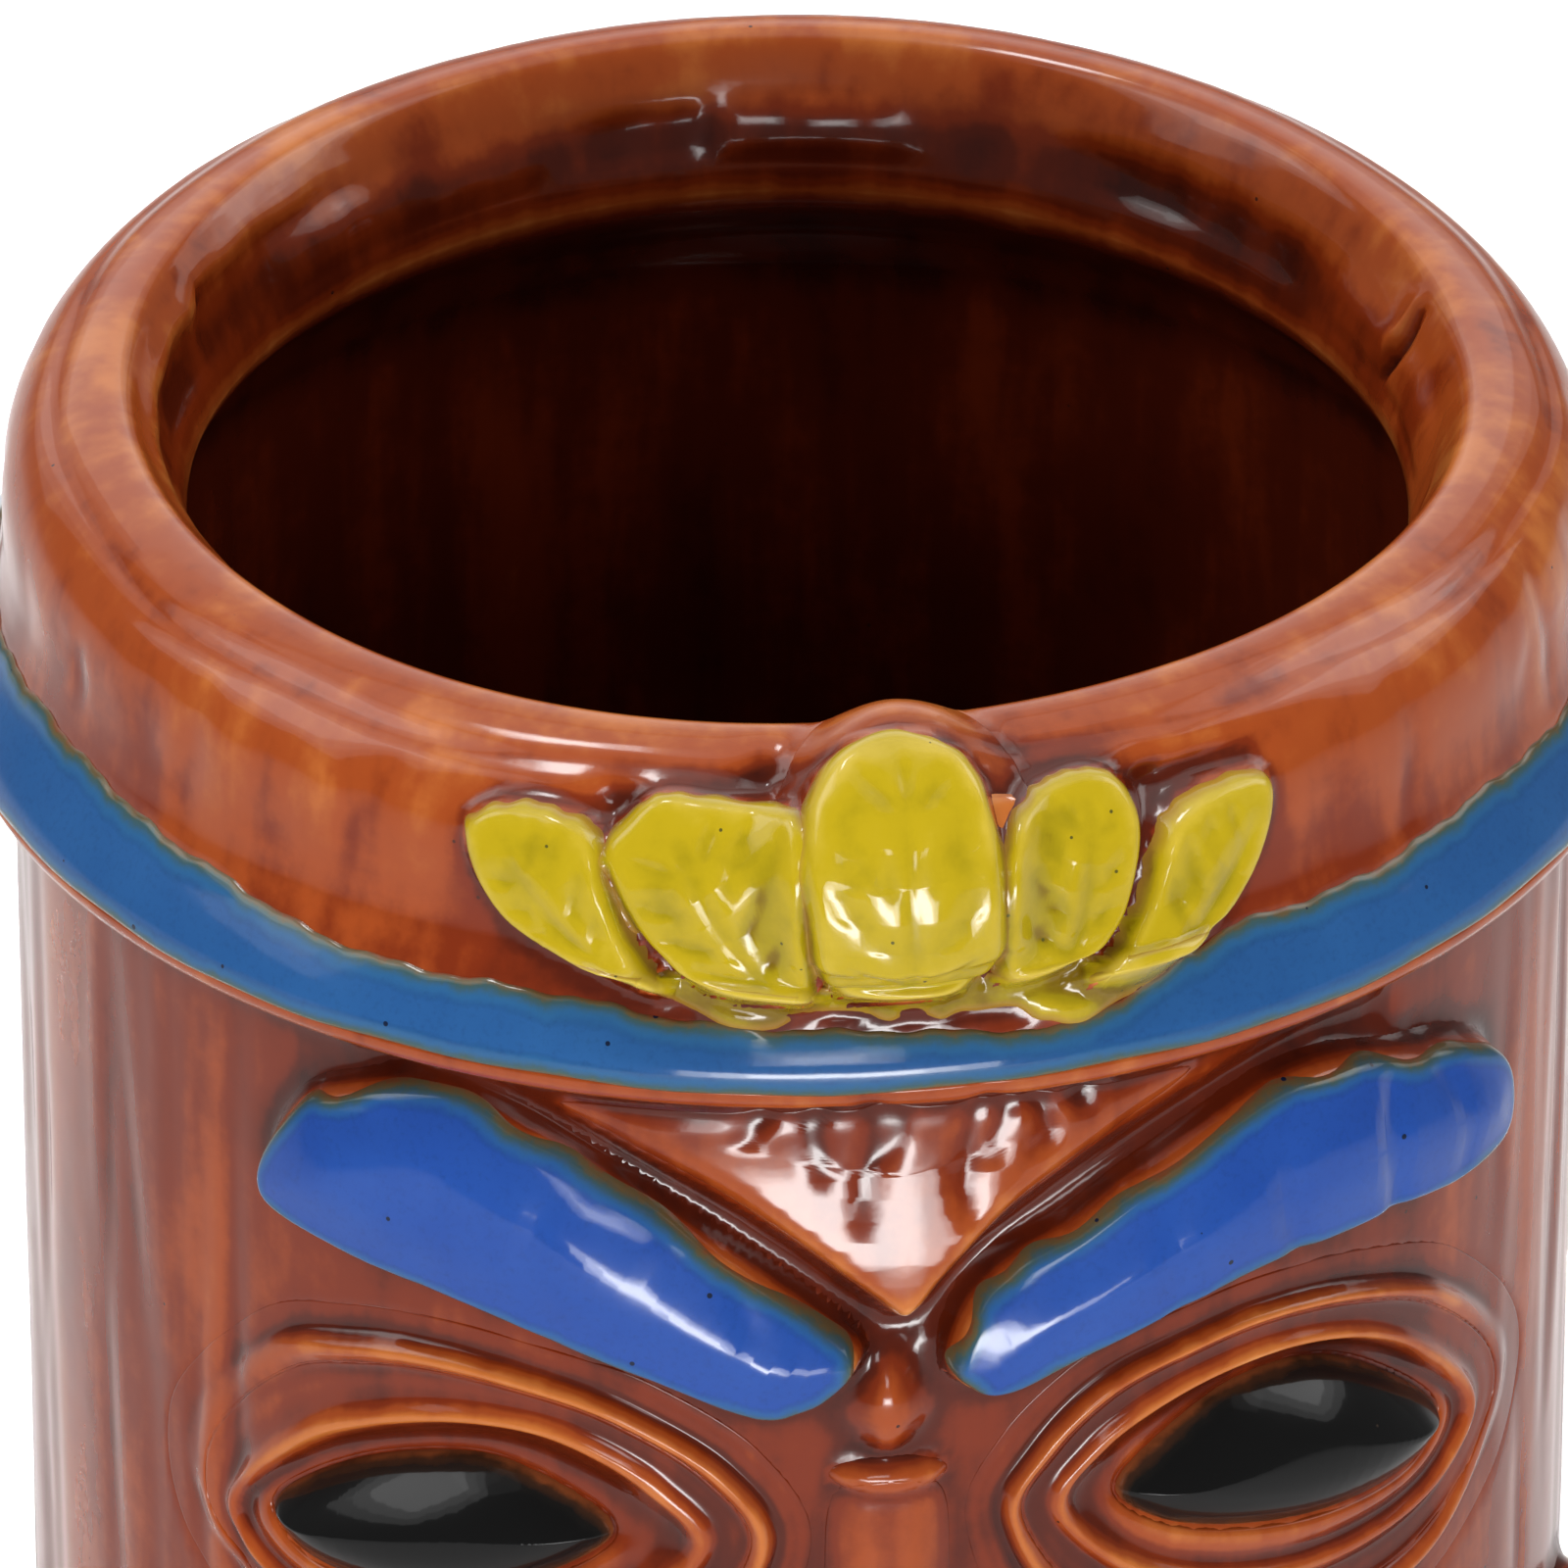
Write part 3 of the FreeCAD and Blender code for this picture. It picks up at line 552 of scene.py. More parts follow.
def lobe_outline(side):
    return oval(at(EAR_ANGLE * SIDES[side], EAR_Z - 6.0), 3.3, 5.9)


def add_nose(relief):
    bar = oval(surface([(FACE_MID, BRIDGE_Z)])[0], 2.9, 0.95)
    add_bump(relief, bar, 0.95, -0.5, 0.8)
    boss = rounded(surface([(-1.7, -32.9), (1.9, -36.2), (-1.7, -39.3), (-5.3, -36.2)]), 10)
    add_bump(relief, boss, 1.5, -0.5, 2.2)
    outline = nose_outline()
    part = window(outline, 4.0)
    depth = depth_inside(outline, GRID_S[part], GRID_H[part])
    share = np.clip((NOSE_HIGH[2] - GRID_H[part]) / (NOSE_HIGH[2] - NOSE_LOW[2]), 0, 1)
    relief[part] += (0.9 + 2.5 * share) * ramp(depth, -0.6, 2.2 + 1.6 * share)
    for side in SIDES:
        add_bump(relief, nostril_outline(side), 2.3, -0.5, 3.2)
        cheek = [(FACE_MID + SIDES[side] * angle, z) for angle, z in CHEEK_LINE]
        add_groove(relief, rounded_path(surface(cheek)), 0.6, 1.0)


def tooth_boxes():
    """Centre and half size of each tooth, row by row."""
    centre = at(FACE_MID, MOUTH_Z)
    pitch = 2 * MOUTH_INNER[0] / TEETH_PER_ROW
    tall = MOUTH_INNER[1] / 2
    for row in (1, -1):
        for k in range(TEETH_PER_ROW):
            s = centre[0] - MOUTH_INNER[0] + (k + 0.5) * pitch
            drop = 0.07 * abs(k - (TEETH_PER_ROW - 1) / 2) ** 2
            yield row, k, (s, centre[1] + row * (tall - drop * 0.5)), (pitch / 2 - 0.35, tall - 0.5 - drop)


def add_mouth(relief):
    add_bump(relief, mouth_outline(), 2.3, -0.4, 2.2)
    add_bump(relief, mouth_outline(2.4), -3.1, -0.4, 2.4)
    for _, _, centre, half in tooth_boxes():
        add_bump(relief, oval(centre, *half, TOOTH_POWER, 64), 1.5, -0.2, 1.7)


def add_ears(relief):
    for side in SIDES:
        add_bump(relief, ear_outline(side), 2.1, -0.3, 1.7)
        add_bump(relief, ear_outline(side, 2.2), -2.3, -0.3, 1.8)
        add_bump(relief, lobe_outline(side), 1.3, -0.3, 2.4)


def leaf_bump(name, s, h):
    """Height of one leaf: a puffed blade with a midrib and side veins pressed into it."""
    outline = grown(rounded(surface(LEAVES[name]), 6), LEAF_GROWTH)
    foot, tip = surface(LEAF_RIBS[name])
    depth = depth_inside(outline, s, h)
    length = np.linalg.norm(tip - foot)
    direction = (tip - foot) / length
    along = (s - foot[0]) * direction[0] + (h - foot[1]) * direction[1]
    across = (s - foot[0]) * -direction[1] + (h - foot[1]) * direction[0]
    lean = LEAF_LEAN * (1 - np.clip(along / length, 0, 1))
    blade = ramp(depth, -0.35, 0.7) * (LEAF_HEIGHTS[name] + lean) + 0.7 * ramp(depth, 0.6, 4.2)
    blade -= 0.3 * ramp(depth, 0.5, 2.6) * ramp(along, -1.0, 5.0)
    veins = np.exp(-(across / 0.38) ** 2) * ramp(along, 0.0, 1.5) * ramp(length - along, 0.4, 2.0)
    for k in range(4):
        rise = along - 0.75 * np.abs(across) - length * (0.12 + 0.2 * k)
        veins = np.maximum(veins, 0.8 * np.exp(-(rise / 0.34) ** 2) * ramp(np.abs(across), 0.0, 0.5))
    return blade - 0.26 * veins * ramp(depth, 0.6, 1.8)


def add_leaves(relief):
    add_bump(relief, rounded(surface(MOUND), 8), 2.3, -0.8, 3.4)
    every = np.concatenate([surface(points) for points in LEAVES.values()])
    part = window(every, 4.0)
    s, h = GRID_S[part], GRID_H[part]
    relief[part] += np.max([leaf_bump(name, s, h) for name in LEAVES], axis=0)
    add_bump(relief, rounded(surface(STRIP), 4), 0.55, -0.3, 0.9)
    for angle, depth, half_s, half_h in LEAF_PITS:
        centre = surface([(angle, depth)])[0]
        relief -= 0.8 * np.exp(-((GRID_S - centre[0]) / half_s) ** 2 - ((GRID_H - centre[1]) / half_h) ** 2)


def make_height_map():
    relief = np.zeros_like(GRID_S)
    for add in (add_wood_grain, add_rim_details, add_brows, add_forehead, add_eyes, add_nose, add_mouth,
                add_ears, add_leaves):
        add(relief)
    ends = ramp(GRID_H, MAP_H[0], MAP_H[0] + 3.0) * (1 - ramp(GRID_H, LIP_H - 1.5, LIP_H - 0.3))
    return relief * ends


def blurred(field, sigma):
    """The map blurred by a Gaussian of sigma mm, wrapping round the mug."""
    padded = np.concatenate([field, field[::-1]])
    fy = np.fft.fftfreq(padded.shape[0], STEP)[:, None]
    fx = np.fft.rfftfreq(padded.shape[1], MAP_S[1] - MAP_S[0])[None, :]
    soft = np.exp(-2 * (math.pi * sigma) ** 2 * (fx ** 2 + fy ** 2))
    return np.fft.irfft2(np.fft.rfft2(padded) * soft, padded.shape)[:len(field)]


def line_hollow(sigma):
    """How hollow the plain outline is at each height, in mm."""
    soft = eased(LINE, int(2 * (sigma / STEP) ** 2))
    return np.sum((soft - LINE) * LINE_OUT, axis=1)


RELIEF = blurred(make_height_map(), RELIEF_BLUR)
LINE_HOLLOW = line_hollow(0.7) / 0.2 + line_hollow(2.0) / 1.0
HOLLOW = (blurred(RELIEF, 0.6) - RELIEF) / 0.16 + (blurred(RELIEF, 1.8) - RELIEF) / 0.8
HOLLOW += np.interp(GRID_H, LINE_H, LINE_HOLLOW)
PRESSED = np.zeros_like(RELIEF)     # how far the body is let down under the pieces


def sample(field, s, h):
    """The map at any places, smoothly interpolated."""
    rows, columns = field.shape
    y = np.clip((np.asarray(h) - MAP_H[0]) / STEP, 1, rows - 3)
    x = (np.asarray(s) - MAP_S[0]) / (MAP_S[1] - MAP_S[0])
    iy, ix = np.floor(y).astype(int), np.floor(x).astype(int)
    total = 0.0
    weights = []
    for t in (y - iy, x - ix):
        weights.append(((1 - t) ** 3 / 6, (3 * t ** 3 - 6 * t ** 2 + 4) / 6,
                        (-3 * t ** 3 + 3 * t ** 2 + 3 * t + 1) / 6, t ** 3 / 6))
    for j in range(4):
        for i in range(4):
            total = total + weights[0][j] * weights[1][i] * field[iy + j - 1, (ix + i - 1) % columns]
    return total


def ring_points(radius, z, turn):
    """Points in mm at angles round the mug, from the middle of the face."""
    return np.stack([radius * np.sin(turn), -radius * np.cos(turn), np.broadcast_to(z, turn.shape)], -1)


def place(s, h, lift, pressed=False):
    """Points in mm of places on the surface, lifted off it."""
    offset = sample(RELIEF, s, h) + lift
    if pressed:
        offset = offset - sample(PRESSED, s, h)
    offset = np.where(h > LIP_H, lift, offset)
    radius = np.interp(h, LINE_H, LINE[:, 0]) + np.interp(h, LINE_H, LINE_OUT[:, 0]) * offset
    z = np.interp(h, LINE_H, LINE[:, 1]) + np.interp(h, LINE_H, LINE_OUT[:, 1]) * offset
    angle = np.asarray(s) / ARC_R
    uneven = RIM_TILT * (1 - np.cos(angle)) + 0.25 * np.sin(2 * angle + 1.0) + 0.15 * np.sin(3 * angle)
    return ring_points(radius, z + uneven * ramp(z, RIM_TOP - 22.0, RIM_TOP - 2.0), angle)


def hollow_and_shade_at(s, h):
    """How hollow the surface is, where glaze pools; below 0 it is a ridge, where glaze runs thin. Painted
    shade is added on the lip, strongest at the back, and inside the cup.
    """
    inside = np.interp(h, LINE_H, LINE_HOLLOW)
    hollow = np.where(h > LIP_H - 1.0, inside, sample(HOLLOW, s, h))
    lip = h - CREST_H
    # Painted shade on the lip below its crease: a dark band all round, much stronger on the side turned away
    # from the camera, where the front rim shades it.
    back = ramp(-np.cos(np.asarray(s) / ARC_R + math.radians(8.0)), -0.3, 0.75)
    painted_lip_shade = (0.3 + 1.4 * back) * ramp(lip, 3.8, 6.0) * (1 - ramp(lip, 8.3, 8.8))
    hollow = np.where(hollow < 0, 0.5 * hollow, 1.25 * hollow)
    # Inside the cup the value rises further: painted shade for the unlit depth, together with the thicker
    # glaze there.
    return np.minimum(hollow, 1.5) + painted_lip_shade + 1.6 * ramp(lip, 8.9, 10.5)


# ---------------------------------------------------------------- meshes
ATTRIBUTE_LIMITS = (-4, 8)
SINK = 0.25              # how deep a piece's edge lies in its neighbour
UNDER = 0.9              # thickness of a piece below the surface
SPINE_STEP = 0.9
PLAIN_EDGE = 0.12        # width of the rounded edge of a piece that has no glaze of its own
PRESS_DEPTH = 0.4        # how far the body is let down under a piece
INSIDE_BODY = 3.0        # the body's own distance from any glaze edge


def make_piece(name, grid, attributes, finish, wrap_rows=False):
    """A closed mesh from rows of points that go round; rows that shrink to a line or a point are welded."""
    material, record_slot, nodes = finish
    rows, columns = grid.shape[:2]
    index = np.arange(rows * columns).reshape(rows, columns)
    lower = index if wrap_rows else index[:-1]
    upper = np.roll(index, -1, axis=0) if wrap_rows else index[1:]
    quads = np.stack([lower, np.roll(lower, -1, axis=1), np.roll(upper, -1, axis=1), upper], -1)
    mesh = bpy.data.meshes.new(name)
    mesh.from_pydata((grid.reshape(-1, 3) * MM).tolist(), [], quads.reshape(-1, 4).tolist())
    for key, values in attributes.items():
        layer = mesh.attributes.new(key, "FLOAT", "POINT")
        layer.data.foreach_set("value", np.clip(values, *ATTRIBUTE_LIMITS).astype(np.float32).ravel())
    weld(mesh)
    mesh.polygons.foreach_set("use_smooth", np.ones(len(mesh.polygons), bool))
    mesh.materials.append(material)
    piece = bpy.data.objects.new(name + "_look", mesh)
    bpy.context.scene.collection.objects.link(piece)
    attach(piece, "root")
    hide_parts(*nodes)


def weld(mesh):
    """Joins doubled points, drops flattened faces and turns every face outwards."""
    work = bmesh.new()
    work.from_mesh(mesh)
    bmesh.ops.remove_doubles(work, verts=work.verts, dist=2e-6)
    bmesh.ops.dissolve_degenerate(work, edges=work.edges, dist=1e-6)
    bmesh.ops.recalc_face_normals(work, faces=work.faces)
    work.to_mesh(mesh)
    work.free()


def spine_places(spine, outline):
    """For each point of the outline, the nearest of a few even places on the spine."""
    path = rounded_path(np.asarray(spine, float), 12)
    along = np.r_[0, np.cumsum(np.linalg.norm(np.diff(path, axis=0), axis=1))]
    even = np.linspace(0, along[-1], max(3, round(along[-1] / SPINE_STEP)))
    places = np.stack([np.interp(even, along, path[:, k]) for k in (0, 1)], 1)
    away = np.linalg.norm(outline[:, None] - places[None], axis=2)
    return places[np.argmin(away, axis=1)]


def edge_lift(depth, lift, edge):
    """A rounded edge: sunk at the outline, and full lift one edge width inside it."""
    t = np.clip(depth / edge, 0, 1)
    return -SINK + (lift + SINK) * np.sqrt(1 - (1 - t) ** 2)


def press_down(part, depth, low=0.15, high=0.6):
    """Lets the body down in a part of the map, from low to high mm in from the edge of the piece above."""
    PRESSED[part] = np.maximum(PRESSED[part], PRESS_DEPTH * ramp(depth, low, high))


def surface_attributes(s, h, depth):
    """What the glazes go by: hollowness, with painted shade on the lip and inside the cup, distance in from
    the edge, and height above the band's foot.
    """
    return {"hollow": hollow_and_shade_at(s, h), "edge": depth, "rise": h - float(climb(ROLL_Z))}


def place_piece(name, first_rows, last_rows, finish, wrap_rows=False):
    """A piece from two groups of rows, one on top and one below; each group is s, h, lift and depth."""
    s, h, lift, depth = (np.concatenate(pair) for pair in zip(first_rows, last_rows))
    make_piece(name, place(s, h, lift), surface_attributes(s, h, depth), finish, wrap_rows)


def underside(places):
    """Rows below the surface at these places, as s, h, lift and depth."""
    flat = places.shape[:2]
    return places[..., 0], places[..., 1], np.full(flat, -SINK - UNDER), np.zeros(flat)


def skin(name, outline, spine, finish, lift=0.0, edge=PLAIN_EDGE, rings=26, shape=None, press=True):
    """A closed piece that fills an outline; its rows run from below, round the edge, to the spine."""
    near = spine_places(spine, outline)
    shares = [1 - (k / rings) ** 1.35 for k in range(rings + 1)]
    top = np.stack([near + t * (outline - near) for t in shares])
    s, h = top[..., 0], top[..., 1]
    depth = np.abs(depth_inside(outline, s, h))
    depth[0] = 0.0
    up = edge_lift(depth, lift, edge)
    if shape is not None:
        up = up + shape(depth)
    below = np.stack([near + t * (outline - near) for t in (0.0, 0.5, 1.0)])
    if press:
        part = window(outline, 1.0)
        press_down(part, depth_inside(outline, GRID_S[part], GRID_H[part]))
    place_piece(name, underside(below), (s, h, up, depth), finish)


def frame_skin(name, outer, inner, finish, rings=22):
    """A closed piece between two nested outlines whose points match."""
    shares = 0.5 - 0.5 * np.cos(np.linspace(0, math.pi, rings + 1))
    top = np.stack([outer + t * (inner - outer) for t in shares])
    s, h = top[..., 0], top[..., 1]
    depth = np.minimum(np.abs(depth_inside(outer, s, h)), np.abs(depth_inside(inner, s, h)))
    depth[[0, -1]] = 0.0
    part = window(outer, 1.0)
    gs, gh = GRID_S[part], GRID_H[part]
    press_down(part, np.minimum(depth_inside(outer, gs, gh), -depth_inside(inner, gs, gh)))
    rows = (s, h, edge_lift(depth, 0.0, PLAIN_EDGE), depth)
    place_piece(name, rows, underside(np.stack([inner, outer])), finish, wrap_rows=True)


def hoop(name, low_edge, high_edge, finish, lift, edge, rows=16, columns=900, fade=1.0):
    """A closed piece all the way round the mug; a smaller fade widens the broken glaze at its top edge."""
    s = (np.arange(columns) / columns - 0.5) * 2 * math.pi * ARC_R
    shares = 0.5 - 0.5 * np.cos(np.linspace(0, math.pi, rows + 1))
    low, high = low_edge(s), high_edge(s)
    h = low + shares[:, None] * (high - low)
    s = np.broadcast_to(s, h.shape)
    up = edge_lift(np.minimum(h - low, high - h), lift, edge)
    part = slice(*np.searchsorted(MAP_H, (low.min() - 1, high.max() + 1)))
    gs, gh = GRID_S[part], GRID_H[part]
    press_down(part, np.minimum(gh - low_edge(gs), high_edge(gs) - gh), 0.3, 0.8)
    below = np.stack([np.stack([s[0], high], 1), np.stack([s[0], low], 1)])
    rows_on_top = (s, h, up, np.minimum(h - low, (high - h) * fade))
    place_piece(name, rows_on_top, underside(below), finish, wrap_rows=True)


def steps(*runs):
    """Values from runs of (start, stop, step), each run ending where the next begins."""
    parts = [np.linspace(a, b, max(2, round((b - a) / step) + 1))[:-1] for a, b, step in runs]
    return np.concatenate(parts + [[runs[-1][1]]])


def make_body(finish):
    """The cup, from the middle of its underside round to the middle of its floor."""
    degrees = steps((-180, -100, 1.6), (-100, 100, 0.7), (100, 180, 1.6))[:-1]
    columns = np.radians(degrees) * ARC_R
    crown = float(climb(SHOULDER_Z))
    heights = steps((LINE_H[0], 60.0, 1.4), (60.0, 98.0, 1.0), (98.0, 133.0, 0.5),
                    (133.0, crown - 4.0, 0.5), (crown - 4.0, LIP_H, 0.38), (LIP_H, LIP_H + 14.0, 1.0),
                    (LIP_H + 14.0, LINE_H[-1], 3.6))
    s, h = np.meshgrid(columns, heights)
    turn = columns / ARC_R
    under = np.stack([ring_points(FOOT_R * share, FOOT_TOP, turn) for share in (0.0, 0.5, 0.8)])
    grid = np.concatenate([under, place(s, h, 0.0, pressed=True)])
    plain = np.zeros(under.shape[:2])
    attributes = {key: np.concatenate([plain, values])
                  for key, values in surface_attributes(s, h, np.full(h.shape, INSIDE_BODY)).items()}
    make_piece("mug_body", grid, attributes, finish)


def make_foot(finish):
    """The bare foot ring, slightly uneven where the glaze was wiped off."""
    inner, round_by, top, columns = foot_inner_radius(), 0.5, FOOT_TOP + 0.4, 260
    turn = np.arange(columns) * 2 * math.pi / columns
    profile = [(FOOT_R, top), (FOOT_R, round_by), (FOOT_R - round_by, 0.0), (inner + round_by, 0.0),
               (inner, round_by), (inner, top)]
    rows = []
    for r, z in smooth_closed(profile):
        wave = 0.08 * np.sin(7 * turn + z) + 0.05 * np.sin(13 * turn + r)
        rows.append(ring_points(r + wave, z, turn))
    make_piece("foot_ring", np.stack(rows), {}, finish, wrap_rows=True)


def foot_inner_radius():
    """Inner radius of the foot ring, from the stated mount that lies in the middle of its face."""
    mount = next(m for m in frame["record"]["mounts"] if m["name"] == "foot")
    return 2 * mount["pos_m"][0] / MM - FOOT_R


def smooth_closed(points, per_side=4):
    """A closed profile with its corners eased."""
    p = np.asarray(points, float)
    t = np.arange(len(p) * per_side) / per_side
    line = np.stack([np.interp(t, np.arange(len(p) + 1), np.r_[p[:, k], p[0, k]]) for k in (0, 1)], 1)
    return (np.roll(line, 1, axis=0) + 2 * line + np.roll(line, -1, axis=0)) / 4


# ---------------------------------------------------------------- glazes
BROWN_STOPS = [
    (0.0, (0.55, 0.21, 0.055)), (0.20, (0.42, 0.12, 0.024)), (0.42, (0.27, 0.048, 0.008)),
    (0.60, (0.15, 0.018, 0.003)), (0.80, (0.07, 0.008, 0.002)), (1.0, (0.028, 0.004, 0.002)),
]
BROWN_FACE = 0.54        # how deep the brown is below the band, as a place on the ramp above
BROWN_CROWN_PAINTED_LIGHT = 0.46       # and on the crown and the rim, lighter than the face: painted light for the sheen they catch
BLUE_EDGE_STOPS = [
    (0.0, (0.16, 0.05, 0.018)), (0.12, (0.10, 0.07, 0.03)), (0.30, (0.035, 0.075, 0.075)),
    (0.62, (0.02, 0.10, 0.20)), (1.0, (0, 0, 0)),
]
BLUE_REACH = 1.3         # width of the blue glaze's broken edge
BAND_BLUES = ((0.010, 0.057, 0.19), (0.020, 0.092, 0.25))
BROW_BLUES = ((0.008, 0.040, 0.23), (0.018, 0.072, 0.31))
GREEN_STOPS = [
    (0.0, (0.48, 0.35, 0.035)), (0.3, (0.38, 0.275, 0.005)), (0.5, (0.28, 0.21, 0.003)),
    (0.72, (0.15, 0.09, 0.003)), (1.0, (0.05, 0.018, 0.003)),
]
BLACK_STOPS = [
    (0.0, (0.17, 0.045, 0.014)), (0.35, (0.03, 0.012, 0.006)), (0.7, (0.006, 0.0055, 0.005)),
    (1.0, (0.004, 0.004, 0.004)),
]
CLAY_STOPS = [(0.3, (0.50, 0.34, 0.22)), (0.7, (0.68, 0.52, 0.38))]


def new_material(name):
    """A material with a bare shader, and its node tree."""
    material = bpy.data.materials.new(name)
    material.use_nodes = True
    tree = material.node_tree
    tree.nodes.clear()
    shader = tree.nodes.new("ShaderNodeBsdfPrincipled")
    output = tree.nodes.new("ShaderNodeOutputMaterial")
    tree.links.new(shader.outputs[0], output.inputs[0])
    return material, tree, shader


def feed(tree, socket, value):
    """Sets a socket to a number or a colour, or links it to another node."""
    if isinstance(value, tuple):
        socket.default_value = (*value, 1.0)
    elif isinstance(value, (int, float)):
        socket.default_value = value
    else:
        tree.links.new(value, socket)


def attribute(tree, name):
    node = tree.nodes.new("ShaderNodeAttribute")
    node.attribute_name = name
    return node.outputs["Fac"]


def math_node(tree, kind, *values, clamp=False):
    node = tree.nodes.new("ShaderNodeMath")
    node.operation = kind
    node.use_clamp = clamp
    for socket, value in zip(node.inputs, values):
        feed(tree, socket, value)
    return node.outputs[0]


def map_range(tree, value, low, high, top=1.0):
    """0 at low, rising to top at high."""
    node = tree.nodes.new("ShaderNodeMapRange")
    node.inputs["From Min"].default_value = low
    node.inputs["From Max"].default_value = high
    node.inputs["To Max"].default_value = top
    tree.links.new(value, node.inputs["Value"])
    return node.outputs[0]


def noise(tree, scale, detail=4.0, roughness=0.55, stretch=(1, 1, 1)):
    where = tree.nodes.new("ShaderNodeTexCoord")
    mapping = tree.nodes.new("ShaderNodeMapping")
    mapping.inputs["Scale"].default_value = stretch
    tree.links.new(where.outputs["Object"], mapping.inputs[0])
    node = tree.nodes.new("ShaderNodeTexNoise")
    node.inputs["Scale"].default_value = scale
    node.inputs["Detail"].default_value = detail
    node.inputs["Roughness"].default_value = roughness
    tree.links.new(mapping.outputs[0], node.inputs["Vector"])
    return node.outputs["Fac"]


def varied(tree, value, field, amount, middle=0.5, clamp=False):
    """The value moved up and down by a noise field."""
    swing = math_node(tree, "MULTIPLY", math_node(tree, "SUBTRACT", field, middle), amount)
    return math_node(tree, "ADD", value, swing, clamp=clamp)


def colour_ramp(tree, value, stops):
    node = tree.nodes.new("ShaderNodeValToRGB")
    node.color_ramp.interpolation = "EASE"
    while len(node.color_ramp.elements) < len(stops):
        node.color_ramp.elements.new(0.5)
    for element, (position, colour) in zip(node.color_ramp.elements, stops):
        element.position = position
        element.color = (*colour, 1.0)
    tree.links.new(value, node.inputs[0])
    return node.outputs[0]


def mix(tree, share, a, b):
    """Colour a, turning into b where the share rises to 1."""
    node = tree.nodes.new("ShaderNodeMix")
    node.data_type = "RGBA"
    tree.links.new(share, node.inputs["Factor"])
    feed(tree, node.inputs[6], a)
    feed(tree, node.inputs[7], b)
    return node.outputs[2]


def specks(tree, scale, size):
    """1 in small scattered spots."""
    where = tree.nodes.new("ShaderNodeTexCoord")
    node = tree.nodes.new("ShaderNodeTexVoronoi")
    node.inputs["Scale"].default_value = scale
    tree.links.new(where.outputs["Object"], node.inputs["Vector"])
    return math_node(tree, "LESS_THAN", node.outputs["Distance"], size)


def bump(tree, height, strength, distance):
    node = tree.nodes.new("ShaderNodeBump")
    node.inputs["Strength"].default_value = strength
    node.inputs["Distance"].default_value = distance
    tree.links.new(height, node.inputs["Height"])
    return node.outputs[0]


def glaze_surface(tree, shader, colour, spots, spot_colour, rough, ripple, coat=0.7):
    """A glossy fired glaze of one colour, with a clear coat, a faint ripple, and pinholes in the spots."""
    tree.links.new(mix(tree, spots, colour, spot_colour), shader.inputs["Base Color"])
    shader.inputs["Roughness"].default_value = 0.25
    shader.inputs["Coat Weight"].default_value = coat
    shader.inputs["Coat Roughness"].default_value = rough
    shader.inputs["Coat IOR"].default_value = 1.5
    shader.inputs["Specular IOR Level"].default_value = 0.05
    wave = noise(tree, 160.0, 2.0)
    fine = noise(tree, 1500.0, 2.0)
    height = math_node(tree, "ADD", wave, math_node(tree, "MULTIPLY", fine, 0.06))
    height = math_node(tree, "SUBTRACT", height, math_node(tree, "MULTIPLY", spots, 0.6))
    normal = bump(tree, height, ripple, 0.0006)
    tree.links.new(normal, shader.inputs["Normal"])
    tree.links.new(normal, shader.inputs["Coat Normal"])


def brown_colour(tree):
    """Brown glaze that breaks to tan where it is thin on edges and pools dark in hollows; with painted shade
    on the lip and inside the cup, and painted light that makes the crown and the rim lighter.
    """
    value = math_node(tree, "MULTIPLY_ADD", attribute(tree, "hollow"), 0.20, BROWN_FACE)
    # The crown and the rim are painted lighter than the face: painted light.
    crown = map_range(tree, attribute(tree, "rise"), 4.0, 8.0, BROWN_CROWN_PAINTED_LIGHT - BROWN_FACE)
    value = math_node(tree, "ADD", value, crown)
    value = varied(tree, value, noise(tree, 75.0, 5.0, 0.6, (1, 1, 0.55)), 0.5)
    value = varied(tree, value, noise(tree, 230.0, 3.0, 0.6, (1, 1, 0.16)), 0.55)
    value = varied(tree, value, noise(tree, 620.0, 4.0, 0.65), 0.16, clamp=True)
    return colour_ramp(tree, value, BROWN_STOPS)


def brown_glaze():
    material, tree, shader = new_material("brown_glaze")
    spots = specks(tree, 260.0, 0.028)
    glaze_surface(tree, shader, brown_colour(tree), spots, (0.05, 0.012, 0.006), 0.09, 0.08)
    return material


def blue_glaze(name, deep, pale):
    """Blue over brown: the brown shows through at the edge, then teal, then blue."""
    material, tree, shader = new_material(name)
    value = math_node(tree, "DIVIDE", attribute(tree, "edge"), BLUE_REACH)
    value = varied(tree, value, noise(tree, 520.0, 5.0, 0.7), 0.55, 0.52, clamp=True)
    blue = mix(tree, noise(tree, 140.0, 5.0, 0.6), deep, pale)
    grains = math_node(tree, "SUBTRACT", noise(tree, 2600.0, 3.0, 0.7), 0.5)
    blue = mix(tree, math_node(tree, "MULTIPLY", grains, 0.8, clamp=True), blue, (0.004, 0.012, 0.05))
    colour = mix(tree, map_range(tree, value, 0.25, 0.95), colour_ramp(tree, value, BLUE_EDGE_STOPS), blue)
    glaze_surface(tree, shader, colour, specks(tree, 420.0, 0.06), (0.004, 0.01, 0.03), 0.08, 0.07)
    return material


